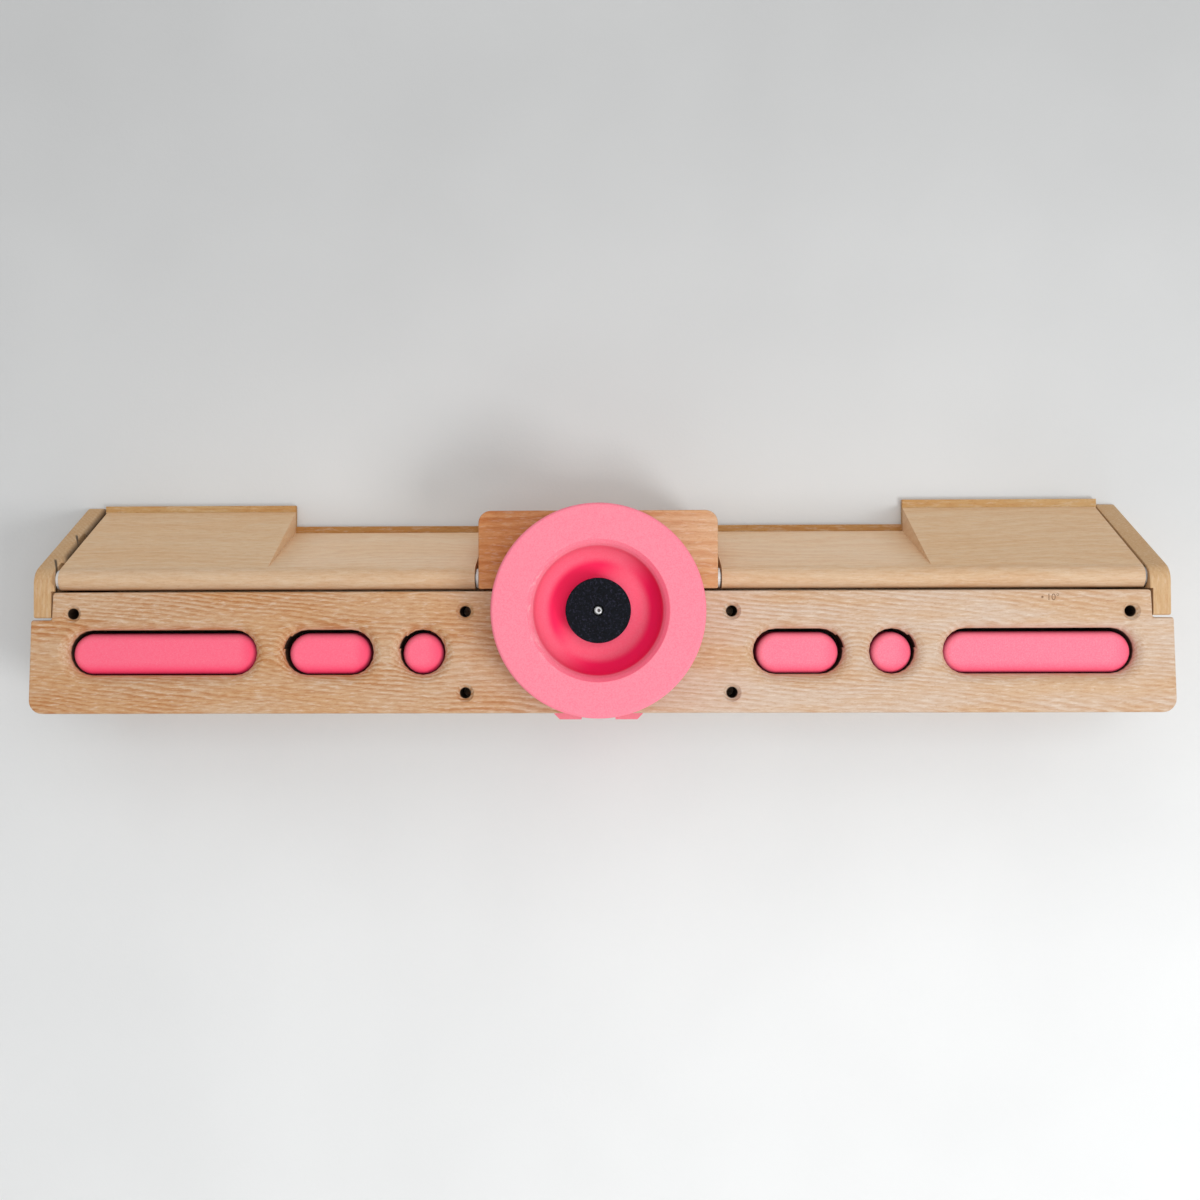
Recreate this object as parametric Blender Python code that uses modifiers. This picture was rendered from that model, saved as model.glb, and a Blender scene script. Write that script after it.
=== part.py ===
"""Hangboard whose finger pockets change depth when a handwheel is turned, with two tilting slopers.

Metres, +Z up. The wall is the plane Y = 0 and the front faces -Y. X = 0 is the handwheel's axis,
and Z = 0 is the centre line of the finger pockets.
"""

import math

import bmesh
import bpy
from mathutils import Vector

MM = 0.001
GAP = 0.3 * MM
PAST = 1 * MM  # how far a cutter reaches past a face
FRONT_OUTLINE = (math.radians(90), 0, 0)
SIDE_OUTLINE = (math.radians(90), 0, math.radians(90))
REARWARD = (math.radians(-90), 0, 0)
OUTWARD = {-1: (0, math.radians(-90), 0), 1: (0, math.radians(90), 0)}
SIDES = (-1, 1)
SIDE_NAMES = {-1: "left", 1: "right"}

# Front plate, a board of beech
PLATE_THICKNESS = 24 * MM
PLATE_FRONT = -80 * MM
PLATE_BACK = PLATE_FRONT + PLATE_THICKNESS
PLATE_BOTTOM = -36.65 * MM
PLATE_TOP = 36.65 * MM
PLATE_HALF_BOTTOM = 344.3 * MM
PLATE_HALF_SHOULDER = 342.7 * MM
PLATE_SHOULDER = 19.9 * MM
PLATE_HALF_NOTCH = 330.1 * MM
PLATE_HALF_TOP = 329.3 * MM
PLATE_CORNER = 8 * MM
PLATE_SHOULDER_CORNER = 1.5 * MM
PLATE_TOP_CORNER = 2 * MM
PLATE_EDGE = 1.6 * MM

# Finger pockets: centre and width, and which end has the relief cut
POCKET_HEIGHT = 27.4 * MM
FLARE_WIDTH = 6.4 * MM
FLARE_DEPTH = 6 * MM
FLARE_ANGLE = 75  # how far the flare has turned where it meets the face
FLARE_STEPS = 5
POCKETS = {
    "long_left": (-263.7 * MM, 114 * MM, 0),
    "medium_left": (-162.9 * MM, 54 * MM, -1),
    "mono_left": (-106.1 * MM, 27.4 * MM, -1),
    "medium_right": (120.0 * MM, 54 * MM, 1),
    "mono_right": (176.4 * MM, 27.4 * MM, 1),
    "long_right": (263.7 * MM, 114 * MM, 0),
}
RELIEF_DEPTH = 0.8 * MM
RELIEF_START = 3 * MM
RELIEF_ANGLES = (9, 46)

# Plugs that close the pockets
PLUG_HEIGHT = 24.8 * MM
PLUG_DROP = 0.9 * MM
PLUG_RECESS = 6 * MM
PLUG_ROUND = 2.5 * MM
PLUG_END_CLEARANCE = {"long": 0.8 * MM, "medium": 2.2 * MM, "mono": 1.3 * MM}

# Holes for the screws that hold the board to the wall
FIXING_RADIUS = 3.3 * MM
FIXING_SINK_RADIUS = 5.5 * MM
FIXING_SINK_DEPTH = 2.4 * MM
FIXING_OUTER = (317.4 * MM, 23.7 * MM)
FIXING_INNER = (80 * MM, 24.4 * MM)

# Back board and what stands between the boards
BOARD_THICKNESS = 15 * MM
BOARD_HALF = 330 * MM
BOARD_TOP = 36.6 * MM
BOARD_CORNER = 3 * MM
BOARD_EDGE = 0.6 * MM
SPACER_WIDTH = 21 * MM
SPACER_INSET = 0.2 * MM
SPACER_TOP = 36.4 * MM
SPACER_WALL = 7 * MM
SPACER_NOTCH = 15.5 * MM
SLEEVE_RADIUS = 7 * MM
BOARD_SCREW_X = 322 * MM
BOARD_SCREW_Z = -22 * MM
BOARD_SCREW_TIP = -70 * MM

# Countersunk wood screws in the frame
WOOD_SCREW_RADIUS = 2 * MM
WOOD_SCREW_HEAD = 4 * MM
WOOD_SCREW_BORE = 2.3 * MM
WOOD_SCREW_SINK = (5.6 * MM, 1.6 * MM)  # radii PAST outside the face and SINK_DEPTH inside it
SINK_DEPTH = 3 * MM

# Centre block
BLOCK_HALF = 72 * MM
BLOCK_BOTTOM = 38 * MM
BLOCK_TOP = 85.1 * MM
BLOCK_FRONT = -79 * MM
BLOCK_CORNER = 7.5 * MM
BLOCK_EDGE = 1 * MM
DOWEL_RADIUS = 4 * MM
DOWEL_HALF_LENGTH = 15 * MM
DOWEL_X = 50 * MM
DOWEL_Y = -68 * MM

# Cheeks
CHEEK_FACE = 328.6 * MM
CHEEK_REBATE = 330.4 * MM
CHEEK_OUTER = 341.2 * MM
REBATE_TOP = 37.3 * MM
CHEEK_BOTTOM = 21.2 * MM
CHEEK_FRONT = -79.6 * MM
CHEEK_CORNER_HEIGHT = 48.5 * MM
CHEEK_TOP = 95 * MM
CHEEK_CORNERS = (1.5 * MM, 1 * MM, 12 * MM)  # lower front, upper rear, upper front
CHEEK_EDGE = 1 * MM
CHEEK_RECESS_DEPTH = 1.4 * MM
CHEEK_SCREW_ROWS = (-48 * MM, -22 * MM)
CHEEK_SCREW_HEIGHT = 31.5 * MM
CHEEK_SCREW_LENGTH = 25 * MM

# Slopers, drawn about the pivot in their nose
PIVOT_Y = -69 * MM
PIVOT_Z = 44.6 * MM
NOSE_RADIUS = 7.9 * MM
SLOPER_UNDER = -6.6 * MM
SLOPER_INNER_END = 74.5 * MM
SLOPER_STEP = 200.9 * MM
SLOPER_OUTER_END = 327.3 * MM
SLOPER_REAR = 64.7 * MM
STEP_BEHIND_CREASE = 0.4 * MM
INNER_SLOPE = 20.4
OUTER_SLOPE = {-1: 30.0, 1: 30.8}
STRIP_THICKNESS = 3 * MM
STRIP_RISE = 4.4 * MM
STRIP_OUTER_RISE = {-1: 4.4 * MM, 1: 5.4 * MM}
STRIP_OUTER_END = 328.1 * MM
STRIP_BOTTOM = -2.7 * MM
PIN_RADIUS = 3 * MM
PIN_IN_SLOPER = 13 * MM
PIN_IN_BLOCK = 13 * MM
PIN_IN_CHEEK = 10.7 * MM
PIN_HOLE_SPARE = 0.7 * MM
COLLAR_RADIUS = 6 * MM
COLLAR_SPARE = {"outer": GAP, "inner": 0.8 * MM}
COLLAR_RECESS_RADIUS = {-1: 11 * MM, 1: 7.5 * MM}
BUTTON_ORBIT = 42.5 * MM
BUTTON_RADIUS = 4.8 * MM
BUTTON_ANGLE = 8
BUTTON_EDGE = 0.5 * MM
GROOVE_CLEARANCE = 0.5 * MM
GROOVE_SPARE_ANGLE = 0.5
GROOVE_DEPTH = 2.2 * MM
GROOVE_END_ANGLE = {-1: 48, 1: 30}
TILT_SHANK_RADIUS = 1.5 * MM
TILT_SHANK_LENGTH = 12 * MM
PAD_DEPTH = 8 * MM
PAD_Y = -8 * MM
PAD_GAP_ABOVE = 0.2 * MM
PAD_GAP_BELOW = 0.1 * MM
PAD_INNER_END = 100 * MM
PAD_OUTER_END = 300 * MM

# Handwheel; heights are counted forward from the plate's front face
AXIS_Z = 24.8 * MM
WHEEL_FACE = 32 * MM
WHEEL_RADIUS = 62 * MM
CUP_FACE_RADIUS = 41.2 * MM
CUP_EDGE_RADIUS = 37.7 * MM
CUP_EDGE_DROP = 4 * MM
CUP_WALL_RADIUS = 35.5 * MM
CUP_FLOOR = 12 * MM
CUP_FILLET = 10 * MM
CUP_LIP = (39 * MM, 30.1 * MM)
RIM_FRONT_ROUND = 2 * MM
RIM_BACK_ROUND = 3 * MM
RIM_BACK_HEIGHT = 18.5 * MM
HUB_REAR = 3.6 * MM
WHEEL_BACK = [  # back of the rim, the step behind the cup, the web and the hub
    (45 * MM, 14.5 * MM),
    (42 * MM, 12.5 * MM),
    (40.5 * MM, 9 * MM),
    (38.5 * MM, 8 * MM),
    (18 * MM, 8 * MM),
    (15.5 * MM, 6.8 * MM),
    (14 * MM, HUB_REAR),
]
CAP_RADIUS = 19 * MM
CAP_FACE = 24 * MM
CAP_EDGE = 0.6 * MM
CAP_BORE = 2.3 * MM
CAP_RECESS_RADIUS = 3.6 * MM
CAP_RECESS_DEPTH = 3 * MM
CAP_SCREW_RADIUS = 2 * MM
CAP_SCREW_TIP = -3 * MM
CAP_SCREW_HEAD = [  # a low round head with a hollow in it, above its seat
    (0, 1.2 * MM),
    (1.2 * MM, 1.2 * MM),
    (1.3 * MM, 2.4 * MM),
    (2.2 * MM, 2.1 * MM),
    (3 * MM, 1.1 * MM),
    (3 * MM, 0),
]
SCREW_SHAFT_RADIUS = 4 * MM
BORE_RADIUS = SCREW_SHAFT_RADIUS + GAP
SCREW_FRONT = 11.5 * MM
SCREW_REAR = -79.2 * MM
BUSH_RADIUS = 6 * MM
FLANGE_RADIUS = 9 * MM
FLANGE_HEIGHT = 2 * MM
FRONT_BUSH_DEPTH = 23 * MM
REAR_BUSH_LENGTH = 6.5 * MM
REAR_BUSH_BACK = -8.4 * MM
LOCK_NUT_RADIUS = 7.2 * MM
LOCK_NUT_THICKNESS = 6 * MM
LOCK_NUT_Y = -4.5 * MM
COUNTERBORE_RADIUS = 8.7 * MM
COUNTERBORE_DEPTH = 8 * MM

# Carriage, drawn where it stands at rest
BAR_HALF = 305 * MM
BAR_HALF_HEIGHT = 12.5 * MM
BAR_FRONT = -48 * MM
BAR_BACK = -38 * MM
BAR_EDGE = 0.6 * MM
ROD_X = 197.3 * MM
ROD_RADIUS = 4 * MM
ROD_FRONT = -66 * MM
ROD_BACK = -5 * MM
GUIDE_BUSH_RADIUS = 6 * MM
GUIDE_BUSH_ENDS = (-50 * MM, -36 * MM)
NUT_BLOCK_HALF = 28 * MM
NUT_BLOCK_FRONT = -51.5 * MM
NUT_BLOCK_BACK = -34.5 * MM
NUT_BLOCK_TOP = 37.3 * MM
NUT_BLOCK_BOTTOM = -33 * MM
FOOT_BOTTOM = -42.7 * MM
FOOT_INNER = 10.6 * MM
FOOT_OUTER = 27.5 * MM
FOOT_CHAMFER = 3.4 * MM
FOOT_TAPER = 3 * MM
NUT_BLOCK_SHOULDER = (NUT_BLOCK_HALF, 26 * MM, 6 * MM)
NUT_BLOCK_CROWN = (16 * MM, NUT_BLOCK_TOP, 3 * MM)
NUT_FLANGE_RADIUS = 10 * MM
NUT_BODY_RADIUS = 5.1 * MM
NUT_FLANGE_THICKNESS = 3.5 * MM
NUT_LENGTH = 14.5 * MM
NUT_SCREW_ORBIT = 7.5 * MM
NUT_SCREW_BORE = 1.5 * MM
NUT_SCREW = (1.9 * MM, 1.5 * MM, 1.2 * MM, 11.5 * MM)  # head radius and height, shank radius and length
PLUG_SCREW_BORE = 2.1 * MM
PLUG_SCREW_DEPTH = 9 * MM
PLUG_SCREW = (3.2 * MM, 2.2 * MM, 1.8 * MM, 18.5 * MM)  # head radius and height, shank radius and length

BEECH = ((0.66, 0.44, 0.27), 0.55, 0.0)
DARK_BEECH = ((0.55, 0.31, 0.15), 0.55, 0.0)
PINK = ((0.93, 0.16, 0.27), 0.55, 0.0)
BLACK = ((0.02, 0.022, 0.03), 0.6, 0.0)
NYLON = ((0.85, 0.87, 0.88), 0.4, 0.0)
STEEL = ((0.56, 0.57, 0.58), 0.3, 1.0)
BRASS = ((0.78, 0.57, 0.25), 0.35, 1.0)
BRONZE = ((0.60, 0.38, 0.20), 0.4, 1.0)
ALUMINIUM = ((0.75, 0.76, 0.77), 0.35, 1.0)
FELT = ((0.10, 0.10, 0.11), 0.95, 0.0)


def side_name(x):
    return SIDE_NAMES[1 if x > 0 else -1]


def clear_scene():
    for item in list(bpy.data.objects):
        bpy.data.objects.remove(item, do_unlink=True)


def collection(name):
    found = bpy.data.collections.get(name)
    if found is None:
        found = bpy.data.collections.new(name)
        bpy.context.scene.collection.children.link(found)
    return found


def finish_material(name, look):
    colour, roughness, metallic = look
    material = bpy.data.materials.new(name)
    material.use_nodes = True
    shader = material.node_tree.nodes["Principled BSDF"]
    shader.inputs["Base Color"].default_value = (*colour, 1)
    shader.inputs["Roughness"].default_value = roughness
    shader.inputs["Metallic"].default_value = metallic
    material.diffuse_color = (*colour, 1)
    return material


def as_part(item, name, look, carrier=None):
    """Names the piece, gives it its material and hangs it on the empty of its moving body."""
    item.name = name
    item.data.name = name
    item.data.materials.append(finish_material(name, look))
    collection("Hangboard").objects.link(item)
    if carrier is not None:
        item.parent = carrier
        item.location -= carrier.location
    return item


def on_sloper(item, name, look, axis):
    """A piece of a sloper, already placed in the frame of the sloper's pivot."""
    item.name = name
    item.data.name = name
    item.data.materials.append(finish_material(name, look))
    item.parent = axis
    collection("Hangboard").objects.link(item)


def as_cutter(item):
    item.name = "cutter"
    item.display_type = "WIRE"
    item.hide_render = True
    collection("Cutters").objects.link(item)
    return item


def body_axis(name, location):
    axis = bpy.data.objects.new(name, None)
    axis.location = location
    collection("Hangboard").objects.link(axis)
    return axis


def mesh_item(bm, location=(0, 0, 0), rotation=(0, 0, 0)):
    mesh = bpy.data.meshes.new("mesh")
    bm.to_mesh(mesh)
    bm.free()
    mesh.shade_smooth()
    mesh.set_sharp_from_angle(angle=math.radians(35))
    item = bpy.data.objects.new("item", mesh)
    item.location = location
    item.rotation_euler = rotation
    return item


def cut(target, *cutters):
    for cutter in cutters:
        boolean = target.modifiers.new("cut", "BOOLEAN")
        boolean.operation = "DIFFERENCE"
        boolean.solver = "EXACT"
        boolean.object = as_cutter(cutter)


def soften(target, width, segments=2):
    bevel = target.modifiers.new("soft edges", "BEVEL")
    bevel.width = width
    bevel.segments = segments
    bevel.limit_method = "ANGLE"
    bevel.angle_limit = math.radians(50)


def arc(centre, radius, start, end, steps):
    """Points of an arc from start to end in degrees, both ends among them."""
    points = []
    for i in range(steps + 1):
        angle = math.radians(start + (end - start) * i / steps)
        points.append((centre[0] + radius * math.cos(angle), centre[1] + radius * math.sin(angle)))
    return points


def rounded(corners, steps=6):
    """Outline through corners (x, y, radius); a corner with a radius becomes an arc."""
    outline = []
    for i, (x, y, radius) in enumerate(corners):
        here = Vector((x, y))
        if radius == 0:
            outline.append((x, y))
            continue
        before = (Vector(corners[i - 1][:2]) - here).normalized()
        after = (Vector(corners[(i + 1) % len(corners)][:2]) - here).normalized()
        half = before.angle(after) / 2
        centre = here + (before + after).normalized() * (radius / math.sin(half))
        first = here + before * (radius / math.tan(half)) - centre
        last = here + after * (radius / math.tan(half)) - centre
        turn = first.angle_signed(last)
        for k in range(steps + 1):
            angle = -turn * k / steps
            point = Vector((
                first.x * math.cos(angle) - first.y * math.sin(angle),
                first.x * math.sin(angle) + first.y * math.cos(angle),
            ))
            outline.append(tuple(centre + point))
    return outline


def flat_piece(outline, thickness, location, rotation):
    """A flat outline given its thickness, made a mesh with one face on each side."""
    curve = bpy.data.curves.new("outline", "CURVE")
    curve.dimensions = "2D"
    curve.fill_mode = "BOTH"
    curve.extrude = thickness / 2
    spline = curve.splines.new("POLY")
    spline.points.add(len(outline) - 1)
    for point, (x, y) in zip(spline.points, outline):
        point.co = (x, y, 0, 1)
    spline.use_cyclic_u = True
    drawn = bpy.data.objects.new("outline", curve)
    collection("Cutters").objects.link(drawn)
    view = bpy.context.evaluated_depsgraph_get()
    mesh = bpy.data.meshes.new_from_object(drawn.evaluated_get(view))
    bm = bmesh.new()
    bm.from_mesh(mesh)
    bmesh.ops.remove_doubles(bm, verts=bm.verts, dist=0.01 * MM)
    bmesh.ops.dissolve_limit(bm, angle_limit=math.radians(0.5), verts=bm.verts, edges=bm.edges)
    bmesh.ops.recalc_face_normals(bm, faces=bm.faces)
    bpy.data.meshes.remove(mesh)
    bpy.data.objects.remove(drawn, do_unlink=True)
    return mesh_item(bm, location, rotation)


def box(low, high):
    bm = bmesh.new()
    size = [b - a for a, b in zip(low, high)]
    bmesh.ops.create_cube(bm, size=1)
    bmesh.ops.scale(bm, vec=size, verts=bm.verts)
    return mesh_item(bm, [(a + b) / 2 for a, b in zip(low, high)])


def add_cone(bm, start, end, radius, end_radius, segments):
    """A cylinder or cone from start to end, both points in the piece's own frame."""
    start, end = Vector(start), Vector(end)
    made = bmesh.ops.create_cone(
        bm, cap_ends=True, segments=segments, radius1=radius, radius2=end_radius, depth=(end - start).length
    )
    turn = (end - start).to_track_quat("Z", "Y").to_matrix()
    bmesh.ops.rotate(bm, verts=made["verts"], matrix=turn)
    bmesh.ops.translate(bm, verts=made["verts"], vec=(start + end) / 2)


def rods(ends, radius, segments=16, end_radius=None):
    """One or more separate straight rods, each between two points."""
    bm = bmesh.new()
    for start, end in ends:
        add_cone(bm, start, end, radius, radius if end_radius is None else end_radius, segments)
    return mesh_item(bm)


def turned(profile, location, closed, segments=32, rotation=FRONT_OUTLINE):
    """A profile of (radius, height) turned about the local Z axis, which points forward."""
    bm = bmesh.new()
    points = [bm.verts.new((radius, 0, height)) for radius, height in profile]
    for near, far in zip(points, points[1:]):
        bm.edges.new((near, far))
    if closed:
        bm.edges.new((points[-1], points[0]))
    item = mesh_item(bm, location, rotation)
    screw = item.modifiers.new("turned", "SCREW")
    screw.axis = "Z"
    screw.steps = segments
    screw.render_steps = segments
    screw.use_merge_vertices = True
    screw.merge_threshold = 0.01 * MM
    screw.use_smooth_shade = True
    return item


def ring(inner, outer, low, high, location, segments=20):
    profile = [(inner, high), (outer, high), (outer, low), (inner, low)]
    return turned(profile, location, True, segments)


def head_screw(seat, rotation, head_radius, head_depth, shank_radius, length):
    """Socket-head screw whose head stands on seat; the shank runs along the piece's local -Z."""
    socket = head_radius * 0.45
    profile = [
        (0, head_depth / 2),
        (socket, head_depth / 2),
        (socket, head_depth),
        (head_radius * 0.85, head_depth),
        (head_radius, head_depth * 0.8),
        (head_radius, 0),
        (shank_radius, 0),
        (shank_radius, -length),
        (0, -length),
    ]
    return turned(profile, seat, False, 10, rotation)


def sunk_screw(face, rotation, head_radius, shank_radius, length):
    """Countersunk screw whose head is flush with face; the shank runs along the piece's local -Z."""
    cone = head_radius - shank_radius
    socket = shank_radius * 0.8
    profile = [
        (0, -cone / 2),
        (socket, -cone / 2),
        (socket, 0),
        (head_radius, 0),
        (shank_radius, -cone),
        (shank_radius, -length),
        (0, -length),
    ]
    return turned(profile, face, False, 12, rotation)


def stadium(width, height, outset, steps=10):
    """Outline with straight sides and half-round ends, made larger all round by outset."""
    half = max((width - height) / 2, 0)
    radius = height / 2 + outset
    return arc((half, 0), radius, -90, 90, steps) + arc((-half, 0), radius, 90, 270, steps)


def lofted(sections, location):
    """A solid through sections (outline, height) with equal point counts, facing forward."""
    bm = bmesh.new()
    loops = [[bm.verts.new((x, y, height)) for x, y in outline] for outline, height in sections]
    for near, far in zip(loops, loops[1:]):
        for i, vert in enumerate(near):
            j = (i + 1) % len(near)
            bm.faces.new((vert, near[j], far[j], far[i]))
    bm.faces.new(reversed(loops[0]))
    bm.faces.new(loops[-1])
    bmesh.ops.remove_doubles(bm, verts=bm.verts, dist=0.001 * MM)
    bmesh.ops.recalc_face_normals(bm, faces=bm.faces)
    return mesh_item(bm, location, FRONT_OUTLINE)


def pocket_cutter(centre, width):
    """A straight pocket through the plate whose mouth flares out at the front along an ellipse."""
    last = math.radians(FLARE_ANGLE)
    across = FLARE_WIDTH / (1 - math.cos(last))
    deep = FLARE_DEPTH / math.sin(last)
    sections = [(stadium(width, POCKET_HEIGHT, 0), -PLATE_THICKNESS - PAST)]
    for k in range(FLARE_STEPS + 1):
        angle = last * k / FLARE_STEPS
        outset = across * (1 - math.cos(angle))
        sections.append((stadium(width, POCKET_HEIGHT, outset), deep * math.sin(angle) - FLARE_DEPTH))
    outset += PAST * math.tan(last) * across / deep
    sections.append((stadium(width, POCKET_HEIGHT, outset), PAST))
    return lofted(sections, (centre, PLATE_FRONT, 0))


def relief_cutter(centre, width, end):
    """A shallow arc cut into one upper end of a pocket's wall."""
    low, high = RELIEF_ANGLES
    radius = POCKET_HEIGHT / 2
    outline = arc((0, 0), radius + RELIEF_DEPTH, low, high, 4) + arc((0, 0), radius - PAST, high, low, 4)
    if end < 0:
        outline = [(-x, y) for x, y in reversed(outline)]
    depth = PLATE_THICKNESS - RELIEF_START + PAST
    middle = PLATE_FRONT + RELIEF_START + depth / 2
    place = (centre + end * (width - POCKET_HEIGHT) / 2, middle, 0)
    return flat_piece(outline, depth, place, FRONT_OUTLINE)


def fixing_places():
    places = [(side * FIXING_OUTER[0], FIXING_OUTER[1]) for side in SIDES]
    for side in SIDES:
        places += [(side * FIXING_INNER[0], level * FIXING_INNER[1]) for level in SIDES]
    return places


def fixing_hole_cutter(front, back):
    return rods([((x, front, z), (x, back, z)) for x, z in fixing_places()], FIXING_RADIUS, 16)


def drill_cutter(x, z):
    """One fixing hole through the front plate with its countersink."""
    slope = (FIXING_SINK_RADIUS - FIXING_RADIUS) / FIXING_SINK_DEPTH
    hole = arc((0, 0), FIXING_RADIUS, 0, 345, 23)
    mouth = arc((0, 0), FIXING_SINK_RADIUS + PAST * slope, 0, 345, 23)
    sections = [(hole, -PLATE_THICKNESS - PAST), (hole, -FIXING_SINK_DEPTH), (mouth, PAST)]
    return lofted(sections, (x, PLATE_FRONT, z))


def board_screw_places():
    return [(side * BOARD_SCREW_X, 0, BOARD_SCREW_Z) for side in SIDES]


def sink_cutter(ends):
    wide, narrow = WOOD_SCREW_SINK
    return rods(ends, wide, 16, narrow)


def dowel_cutter():
    reach = DOWEL_HALF_LENGTH + GAP
    middle = (PLATE_TOP + BLOCK_BOTTOM) / 2
    ends = []
    for side in SIDES:
        ends.append(((side * DOWEL_X, DOWEL_Y, middle - reach), (side * DOWEL_X, DOWEL_Y, middle + reach)))
    return rods(ends, DOWEL_RADIUS + GAP)


def rod_cutter():
    ends = []
    for side in SIDES:
        ends.append(((side * ROD_X, ROD_FRONT - GAP, 0), (side * ROD_X, ROD_BACK + GAP, 0)))
    return rods(ends, ROD_RADIUS + GAP)


def make_front_plate():
    right = [
        (PLATE_HALF_BOTTOM, PLATE_BOTTOM, PLATE_CORNER),
        (PLATE_HALF_SHOULDER, PLATE_SHOULDER, PLATE_SHOULDER_CORNER),
        (PLATE_HALF_NOTCH, PLATE_SHOULDER, 0),
        (PLATE_HALF_TOP, PLATE_TOP, PLATE_TOP_CORNER),
    ]
    corners = right + [(-x, z, radius) for x, z, radius in reversed(right)]
    middle = (PLATE_FRONT + PLATE_BACK) / 2
    plate = flat_piece(rounded(corners), PLATE_THICKNESS, (0, middle, 0), FRONT_OUTLINE)
    soften(plate, PLATE_EDGE)
    for centre, width, relief_end in POCKETS.values():
        cut(plate, pocket_cutter(centre, width))
        if relief_end:
            cut(plate, relief_cutter(centre, width, relief_end))
    cut(plate, *(drill_cutter(x, z) for x, z in fixing_places()))
    axis_hole = [((0, PLATE_FRONT - PAST, AXIS_Z), (0, PLATE_BACK + PAST, AXIS_Z))]
    cut(plate, rods(axis_hole, BUSH_RADIUS + GAP, 24), dowel_cutter(), rod_cutter())
    bores = [((x, PLATE_BACK + PAST, z), (x, BOARD_SCREW_TIP - GAP, z)) for x, _, z in board_screw_places()]
    cut(plate, rods(bores, WOOD_SCREW_BORE, 12))
    as_part(plate, "front_plate", BEECH)


def make_back_board():
    corners = [
        (-BOARD_HALF, PLATE_BOTTOM, BOARD_CORNER),
        (BOARD_HALF, PLATE_BOTTOM, BOARD_CORNER),
        (BOARD_HALF, BOARD_TOP, 0),
        (-BOARD_HALF, BOARD_TOP, 0),
    ]
    board = flat_piece(rounded(corners), BOARD_THICKNESS, (0, -BOARD_THICKNESS / 2, 0), FRONT_OUTLINE)
    soften(board, BOARD_EDGE, 1)
    front = -BOARD_THICKNESS - PAST
    cut(board, fixing_hole_cutter(front, PAST))
    cut(board, rods([((0, front, AXIS_Z), (0, PAST, AXIS_Z))], BUSH_RADIUS + GAP, 24))
    cut(board, rods([((0, -COUNTERBORE_DEPTH, AXIS_Z), (0, PAST, AXIS_Z))], COUNTERBORE_RADIUS, 24))
    cut(board, rod_cutter())
    bores = [((x, front, z), (x, PAST, z)) for x, _, z in board_screw_places()]
    cut(board, rods(bores, WOOD_SCREW_BORE, 12))
    sinks = [((x, PAST, z), (x, -SINK_DEPTH, z)) for x, _, z in board_screw_places()]
    cut(board, sink_cutter(sinks))
    as_part(board, "back_board", BEECH)


def make_end_spacer(side):
    """Block between the boards at one end, notched where the long plug slides past."""
    inner, outer = BOARD_HALF - SPACER_WIDTH, BOARD_HALF - SPACER_INSET
    wall = outer - SPACER_WALL
    outline = [
        (inner, PLATE_BOTTOM),
        (outer, PLATE_BOTTOM),
        (outer, SPACER_TOP),
        (inner, SPACER_TOP),
        (inner, SPACER_NOTCH),
        (wall, SPACER_NOTCH),
        (wall, -SPACER_NOTCH),
        (inner, -SPACER_NOTCH),
    ]
    if side < 0:
        outline = [(-x, z) for x, z in reversed(outline)]
    front, back = PLATE_BACK + GAP, -BOARD_THICKNESS - GAP
    spacer = flat_piece(outline, back - front, (0, (front + back) / 2, 0), FRONT_OUTLINE)
    cut(spacer, fixing_hole_cutter(PLATE_BACK, 0))
    bores = [((x, PLATE_BACK, z), (x, 0, z)) for x, _, z in board_screw_places()]
    cut(spacer, rods(bores, WOOD_SCREW_BORE, 12))
    cut(spacer, cheek_screw_cutter(side))
    as_part(spacer, f"end_spacer_{SIDE_NAMES[side]}", BEECH)


def make_spacer_sleeves():
    front, back = PLATE_BACK + GAP, -BOARD_THICKNESS - GAP
    for x, z in fixing_places()[2:]:
        level = "upper" if z > 0 else "lower"
        sleeve = ring(FIXING_RADIUS + GAP, SLEEVE_RADIUS, 0, back - front, (x, back, z), 16)
        as_part(sleeve, f"spacer_sleeve_{level}_{side_name(x)}", ALUMINIUM)


def make_centre_block():
    corners = [
        (-BLOCK_HALF, BLOCK_BOTTOM, 0),
        (BLOCK_HALF, BLOCK_BOTTOM, 0),
        (BLOCK_HALF, BLOCK_TOP, BLOCK_CORNER),
        (-BLOCK_HALF, BLOCK_TOP, BLOCK_CORNER),
    ]
    depth = -BLOCK_FRONT
    block = flat_piece(rounded(corners, 8), depth, (0, BLOCK_FRONT / 2, 0), FRONT_OUTLINE)
    soften(block, BLOCK_EDGE)
    pin_holes = []
    for side in SIDES:
        tip = side * (SLOPER_INNER_END - PIN_IN_BLOCK - PIN_HOLE_SPARE)
        pin_holes.append(((tip, PIVOT_Y, PIVOT_Z), (side * (BLOCK_HALF + PAST), PIVOT_Y, PIVOT_Z)))
    cut(block, dowel_cutter(), rods(pin_holes, PIN_RADIUS + GAP))
    as_part(block, "centre_block", DARK_BEECH)


def make_block_dowels():
    middle = (PLATE_TOP + BLOCK_BOTTOM) / 2
    for side in SIDES:
        low = (side * DOWEL_X, DOWEL_Y, middle - DOWEL_HALF_LENGTH)
        high = (side * DOWEL_X, DOWEL_Y, middle + DOWEL_HALF_LENGTH)
        as_part(rods([(low, high)], DOWEL_RADIUS), f"block_dowel_{SIDE_NAMES[side]}", BEECH)


def cheek_screw_places(side):
    return [(side * CHEEK_OUTER, y, CHEEK_SCREW_HEIGHT) for y in CHEEK_SCREW_ROWS]


def cheek_screw_cutter(side):
    ends = []
    for x, y, z in cheek_screw_places(side):
        ends.append(((x + side * PAST, y, z), (x - side * (CHEEK_SCREW_LENGTH + GAP), y, z)))
    return rods(ends, WOOD_SCREW_BORE, 12)


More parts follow.
